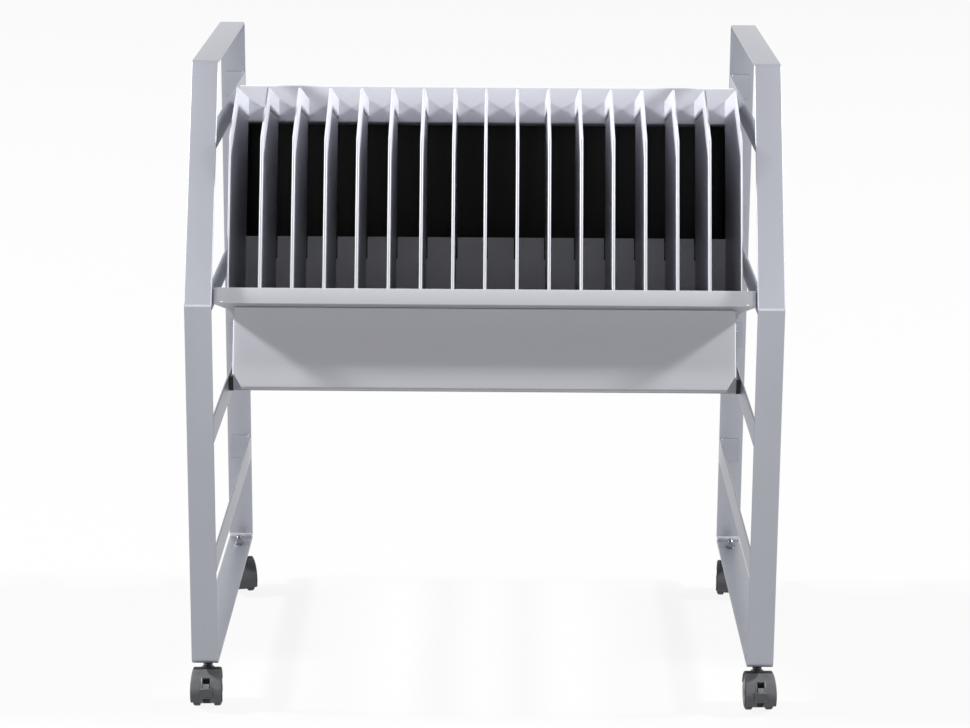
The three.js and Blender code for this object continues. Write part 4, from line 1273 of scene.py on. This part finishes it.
right_wheel = about_axle(wheel_profile(), 56)
inner, full = AXLE_RADIUS - 0.4, AXLE_HALF - 0.4
axle = about_axle([(inner, -AXLE_HALF), (AXLE_RADIUS, -full), (AXLE_RADIUS, full), (inner, AXLE_HALF)], 24)
for caster in CASTERS:
    for side, wheel in (("right", right_wheel), ("left", mirrored(right_wheel))):
        shape, paler = stand(wheel, caster), ("caster_plastic",)
        dress(f"caster_{caster}_wheel_{side}", shape, bevel=0, others=paler, choice=wheel_choice(caster))
    dress(f"caster_{caster}_axle", stand(axle, caster), bevel=0)

# %% [markdown]
# ## Brakes
# Only the front casters have a pedal. Its pad shows under the slot of the hood, and its arm goes in through the slot to
# a pin, about which the joint tips it. One box would show no slot behind it, so pad, arm and knuckle are drawn apart.

# %% Brake pedals
PEDAL_HALF = 7.0
PEDAL_FRONT = -45.5
PEDAL_BACK = -42.5
PEDAL_LEVELS = (17.75, 29.25)
PIVOT = (-29.0, 22.0)
LEDGE_INSET, LEDGE_RISE = 0.9, (0.3, 1.5)
ARM_HALF, KNUCKLE_RADIUS, KNUCKLE_HALF = 3.5, 3.4, 3.45
PIN_RADIUS, PIN_HALF = 1.5, 5.5


def brake_pedal():
    """A pad with rounded corners and a ledge below, an arm that rises to the slot and a knuckle with its pin."""
    low, high = PEDAL_LEVELS
    pad = facing_y(plate(box_outline(-PEDAL_HALF, PEDAL_HALF, low, high, 1.6), (), PEDAL_FRONT, PEDAL_BACK))
    half, foot, top = PEDAL_HALF - LEDGE_INSET, *(low + rise for rise in LEDGE_RISE)
    ridge = box_outline(-half, half, foot, top, 0.5)
    ledge = facing_y(plate(ridge, (), PEDAL_FRONT - 0.7, PEDAL_FRONT + 0.3))
    root = [(PIVOT[0], PIVOT[1] - 2.5), (PIVOT[0], PIVOT[1] + 2.5)]
    side = [(PEDAL_FRONT + 1, low + 1.9), *root, (-38.0, high + 4), (PEDAL_FRONT + 0.8, high - 0.1)]
    arm = facing_x(plate(rounded(side, (0, 0, 0, 1.5, 0.6), 5), (), -ARM_HALF, ARM_HALF))

    def rod(radius, half, facets):
        return moved(facing_x(turned([(radius, -half), (radius, half)], facets)), 0, *PIVOT)

    return joined(pad, ledge, arm, rod(KNUCKLE_RADIUS, KNUCKLE_HALF, 28), rod(PIN_RADIUS, PIN_HALF, 16))


pedal = brake_pedal()
for caster in CASTERS[:2]:
    dress(f"caster_{caster}_brake_pedal", stand(pedal, caster), bevel=0.4)

# %% [markdown]
# ## Stems and nuts
# A black collar holds the stem over the caster, and its thread goes up through the frame into a washer and a nut. Bump
# could fake the thread, but its outline would stay straight, so the thread is a surface of angle and height.
# The nut's outline is a hexagon cut by a cone at both ends, which gives its curved chamfers.

# %% Stems
STEM_FOOT = 31.3
THREAD_RADIUS = 3.2
THREAD_PITCH = 1.0
THREAD_DEPTH = 0.45
THREAD_LEVELS = (54.4, 68.2)
STEPS_PER_PITCH = 8
END_TAPER = 1.4
COLLAR_TOP = 54.2
COLLAR_PROFILE = [(3.2, STEM_FOOT), (3.2, 44.6), (4.9, 44.6), (5.2, 44.9), (5.2, 53.9)]
COLLAR_PROFILE += [(4.9, COLLAR_TOP), (3.2, COLLAR_TOP)]


def threaded(radius, depth, pitch, low, high, facets=28):
    """A screw thread: r(t, z) = radius - depth·|2·fraction(z/pitch - t/2π) - 1|, tapered in at its top."""
    levels = np.linspace(low, high, int((high - low) / pitch * STEPS_PER_PITCH) + 1)
    z = levels[:, None]
    r = radius - depth * np.abs(2 * np.mod(z / pitch - angles(facets) / (2 * np.pi), 1) - 1)
    return rings_about_z(np.minimum(r, radius - depth * END_TAPER + (high - z)), levels)


def thread_choice(centres, normals):
    """Picks zinc above the collar."""
    return centres[:, 2] > COLLAR_TOP + 0.1


thread = threaded(THREAD_RADIUS, THREAD_DEPTH, THREAD_PITCH, *THREAD_LEVELS)
stem = joined(turned(COLLAR_PROFILE, 40), thread)
for caster in CASTERS:
    dress(f"caster_{caster}_stem", stand(stem, caster), bevel=0, others=("zinc",), choice=thread_choice)

# %% Nuts
NUT_FLATS = 10.5
NUT_LEVELS = (59.0, 65.7)
NUT_BORE = 3.5
NUT_FACETS = 48
NUT_STEPS = (0, 0.12, 0.24, 0.36, 0.5)
CONE_SLOPE = 1.9
SMALL_EDGE = 0.15
WASHER_RADIUS = 6.2
WASHER_LEVELS = (57.8, 58.98)


def bored(outer, bore, levels, facets):
    """A closed shell round a bore: outer is radius by level and angle, and the bore runs back down inside it."""
    walls = np.concatenate((np.broadcast_to(outer, (len(outer), facets)), np.full((2, facets), bore)))
    return rings_about_z(walls, np.concatenate((levels, [levels[-1], levels[0]])), closed=True)


def caster_nut():
    """A hexagon r = flats/2 / cos(t mod 60° - 30°), cut by a cone below and above, on its washer."""
    hexagon = NUT_FLATS / 2 / np.cos(np.mod(angles(NUT_FACETS), np.pi / 3) - np.pi / 6)
    low, high = NUT_LEVELS
    steps = np.array(NUT_STEPS)
    levels = np.concatenate((low + steps, high - steps[::-1]))
    cone = NUT_FLATS / 2 - SMALL_EDGE + CONE_SLOPE * np.minimum(levels - low, high - levels)
    nut = bored(np.minimum(hexagon, cone[:, None]), NUT_BORE, levels, NUT_FACETS)
    a, b = WASHER_LEVELS
    edge = np.array((SMALL_EDGE, 0, 0, SMALL_EDGE))
    heights = np.array((a, a + SMALL_EDGE, b - SMALL_EDGE, b))
    return joined(nut, bored(WASHER_RADIUS - edge[:, None], NUT_BORE, heights, NUT_FACETS))


nut = caster_nut()
for caster in CASTERS:
    dress(f"caster_{caster}_nut", stand(nut, caster), bevel=0, angle=25)
